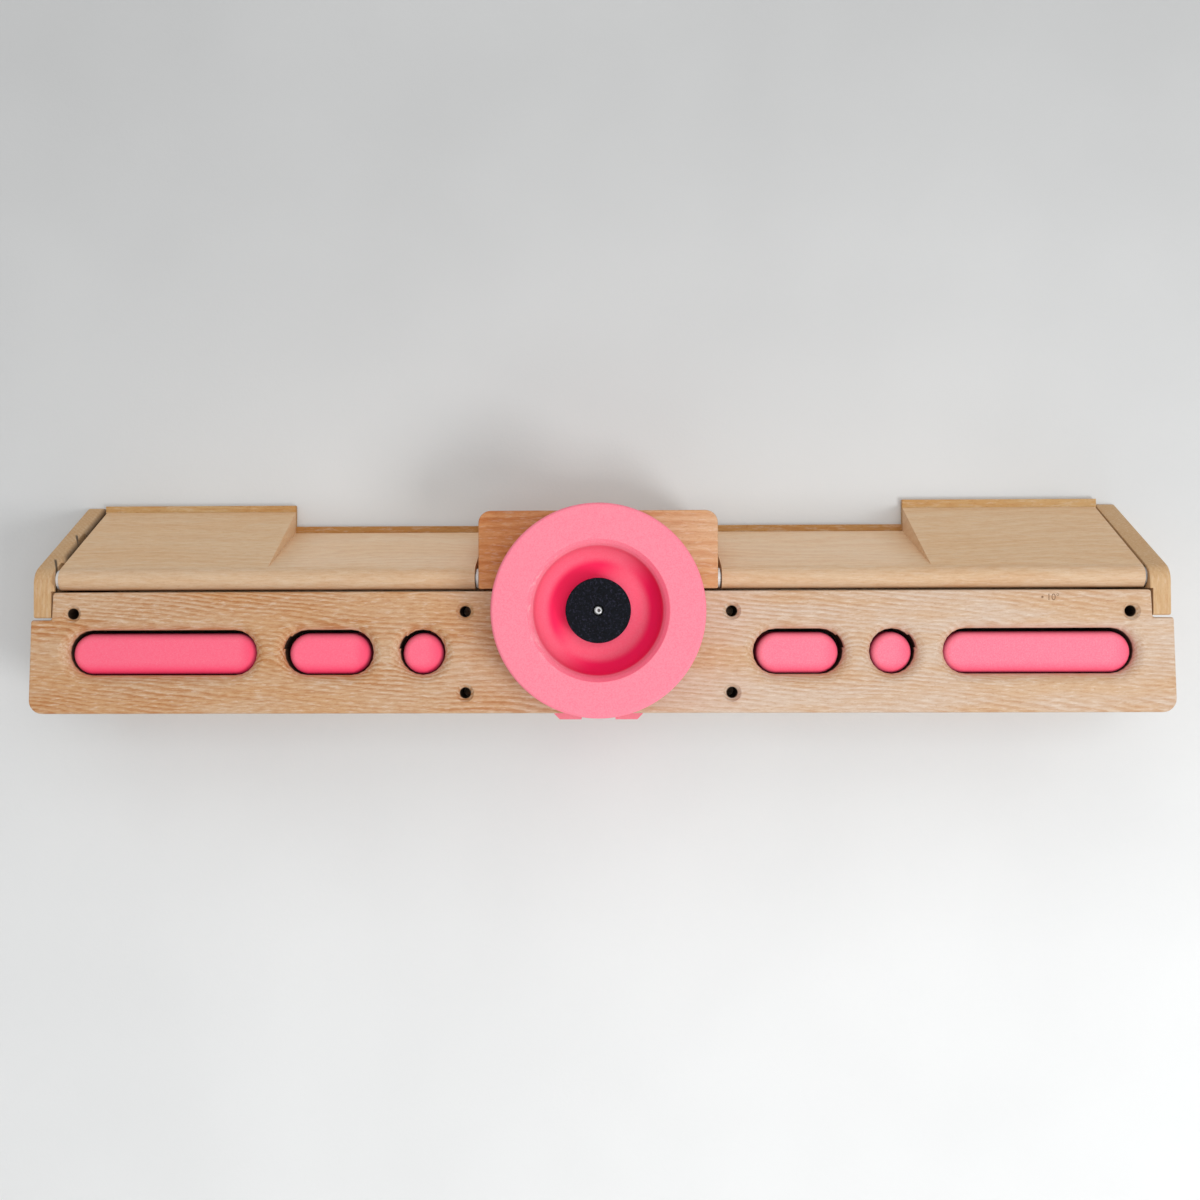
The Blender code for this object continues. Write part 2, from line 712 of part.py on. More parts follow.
def groove_outline(side):
    """The curved guide groove about the pivot; on the left it opens at the cheek's top edge."""
    half = BUTTON_RADIUS + GROOVE_CLEARANCE
    start, end = BUTTON_ANGLE - GROOVE_SPARE_ANGLE, GROOVE_END_ANGLE[side]
    closed_end = (BUTTON_ORBIT * math.cos(math.radians(start)), BUTTON_ORBIT * math.sin(math.radians(start)))
    outline = arc((0, 0), BUTTON_ORBIT + half, start, end, 10)
    outline += arc((0, 0), BUTTON_ORBIT - half, end, start, 10)
    outline += arc(closed_end, half, start - 180, start, 8)[1:-1]
    return outline


def make_cheek(side):
    lower_front, upper_rear, upper_front = CHEEK_CORNERS
    corners = [
        (CHEEK_FRONT, CHEEK_BOTTOM, lower_front),
        (0, CHEEK_BOTTOM, 0),
        (0, CHEEK_TOP, upper_rear),
        (CHEEK_FRONT, CHEEK_CORNER_HEIGHT, upper_front),
    ]
    middle = side * (CHEEK_FACE + CHEEK_OUTER) / 2
    cheek = flat_piece(rounded(corners, 8), CHEEK_OUTER - CHEEK_FACE, (middle, 0, 0), SIDE_OUTLINE)
    soften(cheek, CHEEK_EDGE)
    face = side * CHEEK_FACE
    outside = face - side * PAST
    rebate_ends = sorted((outside, side * CHEEK_REBATE))
    low = (rebate_ends[0], CHEEK_FRONT - PAST, CHEEK_BOTTOM - PAST)
    rebate = box(low, (rebate_ends[1], PAST, REBATE_TOP))
    floor = face + side * CHEEK_RECESS_DEPTH
    recess_ends = [((outside, PIVOT_Y, PIVOT_Z), (floor, PIVOT_Y, PIVOT_Z))]
    recess = rods(recess_ends, COLLAR_RECESS_RADIUS[side], 28)
    groove_place = (face + side * (GROOVE_DEPTH - PAST) / 2, PIVOT_Y, PIVOT_Z)
    groove = flat_piece(groove_outline(side), GROOVE_DEPTH + PAST, groove_place, SIDE_OUTLINE)
    tip = side * (SLOPER_OUTER_END + PIN_IN_CHEEK + PIN_HOLE_SPARE)
    pin_hole = rods([((face, PIVOT_Y, PIVOT_Z), (tip, PIVOT_Y, PIVOT_Z))], PIN_RADIUS + GAP)
    cut(cheek, rebate, recess, groove, pin_hole, cheek_screw_cutter(side))
    sinks = []
    for x, y, z in cheek_screw_places(side):
        sinks.append(((x + side * PAST, y, z), (x - side * SINK_DEPTH, y, z)))
    cut(cheek, sink_cutter(sinks))
    as_part(cheek, f"cheek_{SIDE_NAMES[side]}", BEECH)


def slope_height(along, start, start_height, angle):
    return start_height + (along - start) * math.tan(math.radians(angle))


def sloper_profile(side):
    """Side outline of the outer half as (y, z) from the pivot, and where both slopes meet."""
    steep = OUTER_SLOPE[side]
    under_angle = 180 + math.degrees(math.asin(-SLOPER_UNDER / NOSE_RADIUS))
    nose = arc((0, 0), NOSE_RADIUS, 90 + steep, under_angle, 12)
    rear_z = slope_height(SLOPER_REAR, *nose[0], steep)
    outline = nose + [(SLOPER_REAR, SLOPER_UNDER), (SLOPER_REAR, rear_z)]
    crease_radius = NOSE_RADIUS / math.cos(math.radians(steep - INNER_SLOPE) / 2)
    crease_angle = math.radians(90 + (steep + INNER_SLOPE) / 2)
    crease = (crease_radius * math.cos(crease_angle), crease_radius * math.sin(crease_angle))
    inner_rear_z = slope_height(SLOPER_REAR, *crease, INNER_SLOPE)
    return outline, crease, rear_z, inner_rear_z


def button_place(side):
    angle = math.radians(BUTTON_ANGLE)
    return Vector((side * SLOPER_OUTER_END, BUTTON_ORBIT * math.cos(angle), BUTTON_ORBIT * math.sin(angle)))


def make_sloper(side, axis):
    outline, crease, rear_z, inner_rear_z = sloper_profile(side)
    length = SLOPER_OUTER_END - SLOPER_INNER_END
    middle = side * (SLOPER_OUTER_END + SLOPER_INNER_END) / 2
    sloper = flat_piece(outline, length, (middle, 0, 0), SIDE_OUTLINE)
    begin = crease[0] + STEP_BEHIND_CREASE
    begin_z = slope_height(begin, *crease, INNER_SLOPE)
    past = 4 * PAST
    above = rear_z + past
    step_outline = [
        (begin, begin_z),
        (SLOPER_REAR + past, slope_height(SLOPER_REAR + past, *crease, INNER_SLOPE)),
        (SLOPER_REAR + past, above),
        (begin, above),
    ]
    step_length = SLOPER_STEP - SLOPER_INNER_END + past
    step_middle = side * (SLOPER_STEP - step_length / 2)
    step = flat_piece(step_outline, step_length, (step_middle, 0, 0), SIDE_OUTLINE)
    hole_depth = PIN_IN_SLOPER + PIN_HOLE_SPARE
    pins = rods([
        ((side * (SLOPER_INNER_END - past), 0, 0), (side * (SLOPER_INNER_END + hole_depth), 0, 0)),
        ((side * (SLOPER_OUTER_END + past), 0, 0), (side * (SLOPER_OUTER_END - hole_depth), 0, 0)),
    ], PIN_RADIUS + GAP)
    place = button_place(side)
    inward = Vector((side, 0, 0))
    shank_end = place - inward * (TILT_SHANK_LENGTH + GAP)
    screw_hole = rods([(place + inward * past, shank_end)], TILT_SHANK_RADIUS + GAP, 12)
    for cutter in (step, pins, screw_hole):
        cutter.parent = axis
    cut(sloper, step, pins, screw_hole)
    on_sloper(sloper, f"sloper_{SIDE_NAMES[side]}", BEECH, axis)
    make_back_strip(side, axis, rear_z, inner_rear_z)


def make_back_strip(side, axis, rear_z, inner_rear_z):
    """The strip of darker wood along the sloper's back, which stands above both slopes."""
    inner, step, outer = (side * x for x in (SLOPER_INNER_END, SLOPER_STEP, STRIP_OUTER_END))
    outer_top = rear_z + STRIP_OUTER_RISE[side]
    outline = [
        (inner, STRIP_BOTTOM),
        (outer, STRIP_BOTTOM),
        (outer, outer_top),
        (step, outer_top),
        (step, inner_rear_z + STRIP_RISE),
        (inner, inner_rear_z + STRIP_RISE),
    ]
    middle = SLOPER_REAR + GAP + STRIP_THICKNESS / 2
    strip = flat_piece(outline, STRIP_THICKNESS, (0, middle, 0), FRONT_OUTLINE)
    on_sloper(strip, f"sloper_strip_{SIDE_NAMES[side]}", DARK_BEECH, axis)


def make_tilt_pin(side, axis):
    """Pin in the sloper's end whose head runs in the cheek's groove."""
    reach = CHEEK_FACE + GROOVE_DEPTH - SLOPER_OUTER_END - GAP
    profile = [
        (0, reach),
        (BUTTON_RADIUS - BUTTON_EDGE, reach),
        (BUTTON_RADIUS, reach - BUTTON_EDGE),
        (BUTTON_RADIUS, GAP),
        (TILT_SHANK_RADIUS, GAP),
        (TILT_SHANK_RADIUS, -TILT_SHANK_LENGTH),
        (0, -TILT_SHANK_LENGTH),
    ]
    pin = turned(profile, button_place(side), False, 16, OUTWARD[side])
    on_sloper(pin, f"tilt_pin_{SIDE_NAMES[side]}", STEEL, axis)


def make_pivots():
    """Nylon pivots: a pin with a wide collar that fills the gap beside the sloper's nose."""
    for side in SIDES:
        outer_gap = CHEEK_FACE + CHEEK_RECESS_DEPTH - SLOPER_OUTER_END
        inner_gap = SLOPER_INNER_END - BLOCK_HALF
        ends = (
            ("outer", SLOPER_OUTER_END, OUTWARD[side], outer_gap, PIN_IN_CHEEK),
            ("inner", SLOPER_INNER_END, OUTWARD[-side], inner_gap, PIN_IN_BLOCK),
        )
        for name, x, way, gap, tip in ends:
            profile = [
                (0, tip),
                (PIN_RADIUS, tip),
                (PIN_RADIUS, gap - GAP),
                (COLLAR_RADIUS, gap - GAP),
                (COLLAR_RADIUS, COLLAR_SPARE[name]),
                (PIN_RADIUS, COLLAR_SPARE[name]),
                (PIN_RADIUS, -PIN_IN_SLOPER),
                (0, -PIN_IN_SLOPER),
            ]
            pivot = turned(profile, (side * x, PIVOT_Y, PIVOT_Z), False, 20, way)
            as_part(pivot, f"pivot_{name}_{SIDE_NAMES[side]}", NYLON)


def make_rest_pads():
    """Felt pads on the back board's top edge, on which the slopers rest."""
    under = PIVOT_Z + SLOPER_UNDER - PAD_GAP_ABOVE
    foot = BOARD_TOP + PAD_GAP_BELOW
    for side in SIDES:
        ends = sorted((side * PAD_INNER_END, side * PAD_OUTER_END))
        low = (ends[0], PAD_Y - PAD_DEPTH / 2, foot)
        as_part(box(low, (ends[1], PAD_Y + PAD_DEPTH / 2, under)), f"rest_pad_{SIDE_NAMES[side]}", FELT)


def make_frame_screws():
    for side in SIDES:
        for row, place in zip(("front", "rear"), cheek_screw_places(side)):
            screw = sunk_screw(place, OUTWARD[side], WOOD_SCREW_HEAD, WOOD_SCREW_RADIUS, CHEEK_SCREW_LENGTH)
            as_part(screw, f"cheek_screw_{row}_{SIDE_NAMES[side]}", STEEL)
    length = -BOARD_SCREW_TIP - GAP
    for x, _, z in board_screw_places():
        screw = sunk_screw((x, -GAP, z), REARWARD, WOOD_SCREW_HEAD, WOOD_SCREW_RADIUS, length)
        as_part(screw, f"board_screw_{side_name(x)}", STEEL)


def make_guide_rods():
    for side in SIDES:
        rod = rods([((side * ROD_X, ROD_FRONT, 0), (side * ROD_X, ROD_BACK, 0))], ROD_RADIUS)
        as_part(rod, f"guide_rod_{SIDE_NAMES[side]}", STEEL)


def make_bushes():
    front = [
        (BORE_RADIUS, FLANGE_HEIGHT),
        (FLANGE_RADIUS, FLANGE_HEIGHT),
        (FLANGE_RADIUS, GAP),
        (BUSH_RADIUS, GAP),
        (BUSH_RADIUS, -FRONT_BUSH_DEPTH),
        (BORE_RADIUS, -FRONT_BUSH_DEPTH),
    ]
    as_part(turned(front, (0, PLATE_FRONT, AXIS_Z), True, 24), "front_bush", BRONZE)
    rear = ring(BORE_RADIUS, BUSH_RADIUS, 0, REAR_BUSH_LENGTH, (0, REAR_BUSH_BACK, AXIS_Z))
    as_part(rear, "rear_bush", BRONZE)


def wheel_profile():
    """The handwheel from its bore across the cup, the rim and the back; (radius, height)."""
    face, rim = WHEEL_FACE, WHEEL_RADIUS
    fillet_centre = (CUP_WALL_RADIUS - CUP_FILLET, CUP_FLOOR + CUP_FILLET)
    profile = [(BORE_RADIUS, CUP_FLOOR)]
    profile += arc(fillet_centre, CUP_FILLET, -90, 0, 6)
    profile += [(CUP_EDGE_RADIUS, face - CUP_EDGE_DROP), CUP_LIP, (CUP_FACE_RADIUS, face)]
    profile += arc((rim - RIM_FRONT_ROUND, face - RIM_FRONT_ROUND), RIM_FRONT_ROUND, 90, 0, 3)
    profile += arc((rim - RIM_BACK_ROUND, RIM_BACK_HEIGHT), RIM_BACK_ROUND, 0, -75, 3)
    return profile + WHEEL_BACK + [(BORE_RADIUS, HUB_REAR)]


def make_handwheel(axis):
    at_plate = (0, PLATE_FRONT, AXIS_Z)
    as_part(turned(wheel_profile(), at_plate, True, 48), "handwheel", PINK, axis)
    seat = CAP_FACE - CAP_RECESS_DEPTH
    cap = [
        (CAP_BORE, seat),
        (CAP_RECESS_RADIUS, seat),
        (CAP_RECESS_RADIUS, CAP_FACE),
        (CAP_RADIUS - CAP_EDGE, CAP_FACE),
        (CAP_RADIUS, CAP_FACE - CAP_EDGE),
        (CAP_RADIUS, CUP_FLOOR + GAP),
        (CAP_BORE, CUP_FLOOR + GAP),
    ]
    as_part(turned(cap, at_plate, True, 36), "wheel_cap", BLACK, axis)
    head = seat + GAP
    screw = [(radius, head + height) for radius, height in CAP_SCREW_HEAD]
    screw += [(CAP_SCREW_RADIUS, head), (CAP_SCREW_RADIUS, CAP_SCREW_TIP), (0, CAP_SCREW_TIP)]
    as_part(turned(screw, at_plate, False, 16), "cap_screw", STEEL, axis)
    shaft = [
        (0, CAP_SCREW_TIP - PAST),
        (CAP_BORE, CAP_SCREW_TIP - PAST),
        (CAP_BORE, SCREW_FRONT),
        (SCREW_SHAFT_RADIUS, SCREW_FRONT),
        (SCREW_SHAFT_RADIUS, SCREW_REAR),
        (0, SCREW_REAR),
    ]
    as_part(turned(shaft, at_plate, False, 20), "lead_screw", STEEL, axis)
    hexagon = arc((0, 0), LOCK_NUT_RADIUS, 0, 300, 5)
    nut = flat_piece(hexagon, LOCK_NUT_THICKNESS, (0, LOCK_NUT_Y, AXIS_Z), FRONT_OUTLINE)
    cut(nut, rods([((0, -COUNTERBORE_DEPTH, AXIS_Z), (0, 0, AXIS_Z))], BORE_RADIUS, 20))
    as_part(nut, "rear_lock_nut", STEEL, axis)


def plug_screw_places():
    return [(centre, -PLUG_DROP) for centre, _, _ in POCKETS.values()]


def make_plug(name, axis):
    centre, width, _ = POCKETS[name]
    plug_width = max(width - 2 * PLUG_END_CLEARANCE[name.split("_")[0]], PLUG_HEIGHT)
    front = -PLUG_RECESS
    sections = []
    for k in range(4):
        angle = math.radians(90 - 30 * k)
        inset = PLUG_ROUND * (1 - math.cos(angle))
        outline = stadium(plug_width, PLUG_HEIGHT, -inset)
        sections.append((outline, front - PLUG_ROUND * (1 - math.sin(angle))))
    back = PLATE_FRONT - (BAR_FRONT - GAP)
    sections.append((stadium(plug_width, PLUG_HEIGHT, 0), back))
    plug = lofted(sections, (centre, PLATE_FRONT, -PLUG_DROP))
    bore = [((centre, BAR_FRONT + PAST, -PLUG_DROP), (centre, BAR_FRONT - PLUG_SCREW_DEPTH, -PLUG_DROP))]
    cut(plug, rods(bore, PLUG_SCREW_BORE, 10))
    as_part(plug, f"plug_{name}", PINK, axis)
    seat = (centre, BAR_BACK + GAP, -PLUG_DROP)
    screw = head_screw(seat, REARWARD, *PLUG_SCREW)
    as_part(screw, f"plug_screw_{name}", STEEL, axis)


def make_carriage_bar(axis):
    bar = box((-BAR_HALF, BAR_FRONT, -BAR_HALF_HEIGHT), (BAR_HALF, BAR_BACK, BAR_HALF_HEIGHT))
    soften(bar, BAR_EDGE, 1)
    front, back = BAR_FRONT - PAST, BAR_BACK + PAST
    cut(bar, rods([((x, front, z), (x, back, z)) for x, z in plug_screw_places()], PLUG_SCREW_BORE, 10))
    bush_holes = [((side * ROD_X, front, 0), (side * ROD_X, back, 0)) for side in SIDES]
    cut(bar, rods(bush_holes, GUIDE_BUSH_RADIUS + GAP))
    as_part(bar, "carriage_bar", ALUMINIUM, axis)
    front, back = GUIDE_BUSH_ENDS
    for side in SIDES:
        bush = ring(ROD_RADIUS + GAP, GUIDE_BUSH_RADIUS, 0, back - front, (side * ROD_X, back, 0))
        as_part(bush, f"guide_bush_{SIDE_NAMES[side]}", BRONZE, axis)


def make_nut_block(axis):
    """Printed block round the bar, with the nut above and two feet that reach below the plate."""
    right = [
        (FOOT_INNER, NUT_BLOCK_BOTTOM, 0),
        (FOOT_INNER, FOOT_BOTTOM, 0),
        (FOOT_OUTER - FOOT_CHAMFER, FOOT_BOTTOM, 0),
        (FOOT_OUTER, FOOT_BOTTOM + FOOT_CHAMFER, 0),
        (FOOT_OUTER, NUT_BLOCK_BOTTOM - FOOT_TAPER, 0),
        (NUT_BLOCK_HALF, NUT_BLOCK_BOTTOM + FOOT_TAPER, 0),
        NUT_BLOCK_SHOULDER,
        NUT_BLOCK_CROWN,
    ]
    corners = right + [(-x, z, radius) for x, z, radius in reversed(right)]
    middle = (NUT_BLOCK_FRONT + NUT_BLOCK_BACK) / 2
    depth = NUT_BLOCK_BACK - NUT_BLOCK_FRONT
    block = flat_piece(rounded(corners, 4), depth, (0, middle, 0), FRONT_OUTLINE)
    reach = NUT_BLOCK_HALF + PAST
    slot = BAR_HALF_HEIGHT + GAP
    cut(block, box((-reach, BAR_FRONT - GAP, -slot), (reach, BAR_BACK + GAP, slot)))
    flange_seat = NUT_BLOCK_BACK - NUT_FLANGE_THICKNESS - 2 * GAP
    through = [((0, NUT_BLOCK_FRONT - PAST, AXIS_Z), (0, NUT_BLOCK_BACK + PAST, AXIS_Z))]
    cut(block, rods(through, NUT_BODY_RADIUS + GAP, 24))
    seat = [((0, flange_seat, AXIS_Z), (0, NUT_BLOCK_BACK + PAST, AXIS_Z))]
    cut(block, rods(seat, NUT_FLANGE_RADIUS + GAP, 24))
    tip = NUT_BLOCK_BACK - NUT_SCREW[3] - GAP
    bores = [((x, flange_seat + PAST, z), (x, tip, z)) for x, z in nut_screw_places()]
    cut(block, rods(bores, NUT_SCREW_BORE, 10))
    as_part(block, "nut_block", PINK, axis)


def nut_screw_places():
    reach = NUT_SCREW_ORBIT * math.sqrt(0.5)
    return [(side * reach, AXIS_Z + side * reach) for side in SIDES]


def make_lead_nut(axis):
    back = NUT_BLOCK_BACK - GAP
    flange = NUT_FLANGE_THICKNESS
    profile = [
        (BORE_RADIUS, NUT_LENGTH),
        (NUT_BODY_RADIUS, NUT_LENGTH),
        (NUT_BODY_RADIUS, flange),
        (NUT_FLANGE_RADIUS, flange),
        (NUT_FLANGE_RADIUS, 0),
        (BORE_RADIUS, 0),
    ]
    nut = turned(profile, (0, back, AXIS_Z), True, 24)
    bores = [((x, back - flange - PAST, z), (x, back + PAST, z)) for x, z in nut_screw_places()]
    cut(nut, rods(bores, NUT_SCREW_BORE, 10))
    as_part(nut, "lead_nut", BRASS, axis)
    for x, z in nut_screw_places():
        screw = head_screw((x, back + GAP, z), REARWARD, *NUT_SCREW)
        as_part(screw, f"nut_screw_{side_name(x)}", STEEL, axis)


def main():
    clear_scene()
    make_front_plate()
    make_back_board()
    make_centre_block()
    make_block_dowels()
    make_spacer_sleeves()
    for side in SIDES:
        make_end_spacer(side)
        make_cheek(side)
    make_pivots()
    make_rest_pads()
    make_frame_screws()
    make_guide_rods()
    make_bushes()
    for side in SIDES:
        name = f"sloper_{SIDE_NAMES[side]}_axis"
        axis = body_axis(name, (0, PIVOT_Y, PIVOT_Z))
        make_sloper(side, axis)
        make_tilt_pin(side, axis)
    dial = body_axis("dial_axis", (0, PLATE_FRONT, AXIS_Z))
    make_handwheel(dial)
    carriage = body_axis("carriage_axis", (0, BAR_FRONT, 0))
    make_carriage_bar(carriage)
    make_nut_block(carriage)
    make_lead_nut(carriage)
    for name in POCKETS:
        make_plug(name, carriage)


main()
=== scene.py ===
"""Dresses the packed hangboard: beech boards, slopers and cheeks, printed handwheel and plugs, hardware.

Each operator makes or finishes one group of pieces. Lengths are in metres, +Z is up, the front
faces -Y, the wall is the plane Y = 0, and the handwheel turns about a line parallel to Y.
"""

import math

import bmesh
import bpy
from bpy.props import FloatProperty, FloatVectorProperty, IntProperty, PointerProperty
from mathutils import Matrix, Vector


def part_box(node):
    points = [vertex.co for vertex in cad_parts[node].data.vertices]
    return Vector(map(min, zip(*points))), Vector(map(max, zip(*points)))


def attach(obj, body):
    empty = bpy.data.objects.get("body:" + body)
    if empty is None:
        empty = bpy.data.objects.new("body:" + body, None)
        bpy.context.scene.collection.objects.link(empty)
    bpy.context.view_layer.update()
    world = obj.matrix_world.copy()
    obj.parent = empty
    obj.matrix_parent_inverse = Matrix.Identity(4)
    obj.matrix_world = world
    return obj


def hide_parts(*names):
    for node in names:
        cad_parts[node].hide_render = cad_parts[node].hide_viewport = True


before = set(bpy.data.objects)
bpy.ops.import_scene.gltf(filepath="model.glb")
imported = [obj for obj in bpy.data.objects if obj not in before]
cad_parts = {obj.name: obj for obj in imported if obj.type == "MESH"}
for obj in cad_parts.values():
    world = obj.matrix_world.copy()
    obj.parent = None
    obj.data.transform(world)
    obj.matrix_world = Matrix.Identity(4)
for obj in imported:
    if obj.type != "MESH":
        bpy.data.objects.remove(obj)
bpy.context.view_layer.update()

bl_info = {
    "name": "Hangboard",
    "version": (1, 0, 0),
    "blender": (4, 5, 0),
    "location": "3D View > Sidebar > Hangboard",
    "description": "Builds a wall hangboard with a handwheel that sets the depth of its pockets",
    "category": "Add Mesh",
}

MM = 0.001
SIDES = ("left", "right")
PLUG_KINDS = ("long", "medium", "mono")
PLATE_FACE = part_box("front_plate")[0].y
WHEEL_LOW, WHEEL_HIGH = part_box("handwheel")
WHEEL_AXIS = Vector(((WHEEL_LOW.x + WHEEL_HIGH.x) / 2, 0, (WHEEL_LOW.z + WHEEL_HIGH.z) / 2))


# Sizes and colours that a user would change


def length(name, description, default):
    return FloatProperty(
        name=name, description=description, default=default, min=0, max=1, subtype="DISTANCE", unit="LENGTH"
    )


def watts(name, description, default):
    return FloatProperty(name=name, description=description, default=default, min=0, unit="POWER")


def colour(name, description, default):
    return FloatVectorProperty(
        name=name, description=description, default=default, min=0, max=1, size=3, subtype="COLOR"
    )


class BeechSettings(bpy.types.PropertyGroup):
    """Colours and grain of the beech boards."""

    pale: colour("Plate wood, left", "Pale wood of the front plate's left end", (0.64, 0.44, 0.285))
    far: colour("Plate wood, right", "Pale wood of the front plate's right end", (0.665, 0.525, 0.418))
    sloper: colour("Sloper wood", "Pale wood of the slopers", (0.93, 0.695, 0.478))
    # The darker outer halves are painted shade of the steeper faces.
    steep: colour("Sloper wood, outer", "Pale wood of the slopers' steeper outer halves", (0.80, 0.565, 0.35))
    nose: colour("Sloper wood, nose", "Pale wood of the slopers' rounded noses", (0.70, 0.50, 0.325))
    # The block's deeper left end is painted shade, the wheel's shadow.
    block: colour("Block wood, left", "Pale wood of the centre block's left end", (0.69, 0.32, 0.125))
    block_far: colour("Block wood, right", "Pale wood of the centre block's right end", (0.70, 0.43, 0.25))
    # The strips' darker inner halves are painted shade.
    strip: colour("Strip wood, outer", "Wood of the strips' outer halves", (0.58, 0.375, 0.17))
    strip_dark: colour("Strip wood, inner", "Wood of the strips' inner halves", (0.46, 0.245, 0.078))
    cheek: colour("Cheek wood", "Pale wood of the cheeks", (0.64, 0.43, 0.235))
    warm: colour("Warm tint", "Tint of the broad warmer bands", (0.96, 0.83, 0.66))
    line: colour("Growth line tint", "Tint of the growth lines", (0.80, 0.59, 0.41))
    fleck: colour("Fleck tint", "Tint of the short flecks", (0.70, 0.52, 0.38))
    spacing: length("Line spacing", "Distance between two growth lines on the face", 3.3 * MM)


class WheelSettings(bpy.types.PropertyGroup):
    """Sizes of the handwheel and its cap, as heights in front of the plate and radii."""

    face: length("Face height", "Height of the wheel's flat face", 32 * MM)
    radius: length("Radius", "Outer radius of the wheel", 62 * MM)
    cup_mouth: length("Cup mouth", "Radius where the flat face ends", 41.2 * MM)
    cup_edge: length("Cup edge", "Radius of the cup's inner edge", 37.7 * MM)
    cup_drop: length("Cup drop", "Depth of the cup's inner edge below the face", 4 * MM)
    cup_wall: length("Cup wall", "Radius of the cup where its wall meets the fillet", 35.5 * MM)
    cup_floor: length("Cup floor", "Height of the cup's floor", 12 * MM)
    cup_fillet: length("Cup fillet", "Radius between the cup's floor and wall", 10 * MM)
    bore: length("Bore", "Radius of the hole for the lead screw", 4.3 * MM)
    hub_rear: length("Hub rear", "Height of the hub's rear face", 3.6 * MM)
    cap_radius: length("Cap radius", "Radius of the black cap", 19 * MM)
    cap_face: length("Cap face", "Height of the cap's face", 24 * MM)
    steps: IntProperty(name="Steps", description="Steps of a full turn", default=144, min=24, max=256)


class PlasticSettings(bpy.types.PropertyGroup):
    """Colours of the printed plastic and the nylon."""

    pink: colour("Pink", "Colour of the handwheel and the nut block", (1.0, 0.275, 0.36))
    plug: colour("Plug pink", "Colour of the plugs", (1.0, 0.24, 0.335))
    # The deep pink also paints shade into the wheel's cup and onto the plugs.
    deep: colour("Deep pink", "Colour in the pores and the deeper places of the printed surface", (1.0, 0.010, 0.11))
    cap: colour("Cap", "Colour of the wheel's cap", (0.003, 0.0038, 0.0065))
    nylon: colour("Nylon", "Colour of the pivots", (0.80, 0.82, 0.83))
    plug_round: length("Plug rounding", "Rounding of the plugs' front edges", 4.5 * MM)


class StageSettings(bpy.types.PropertyGroup):
    """Wall, floor and light."""

    wall: colour("Wall", "Colour of the wall", (0.785, 0.795, 0.795))
    floor: colour("Floor", "Colour of the floor", (0.80, 0.79, 0.78))
    room: FloatProperty(name="Room light", description="Strength of the light from all round", default=0.455)
    window: watts("Window light", "Power of the large light at the lower right", 9.4)
    front: watts("Front light", "Power of the soft light in front", 7)
    low: watts("Low light", "Power of the light from below", 1.6)
    ceiling: watts("Ceiling light", "Power of the light above", 2.7)


# Shader maths


class Wire:
    """A value in a material, so that shader maths reads as Python expressions."""

    def __init__(self, finish, socket):
        self.finish = finish
        self.socket = socket

    def maths(self, operation, *values):
        return self.finish.node("ShaderNodeMath", {"operation": operation}, dict(enumerate(values)))

    def __add__(self, other):
        return self.maths("ADD", self, other)

    def __sub__(self, other):
        return self.maths("SUBTRACT", self, other)

    def __rsub__(self, other):
        return self.maths("SUBTRACT", other, self)

    def __mul__(self, other):
        return self.maths("MULTIPLY", self, other)

    def __truediv__(self, other):
        return self.maths("DIVIDE", self, other)

    def __pow__(self, other):
        return self.maths("POWER", self, other)

    def __abs__(self):
        return self.maths("ABSOLUTE", self)

    __radd__ = __add__
    __rmul__ = __mul__


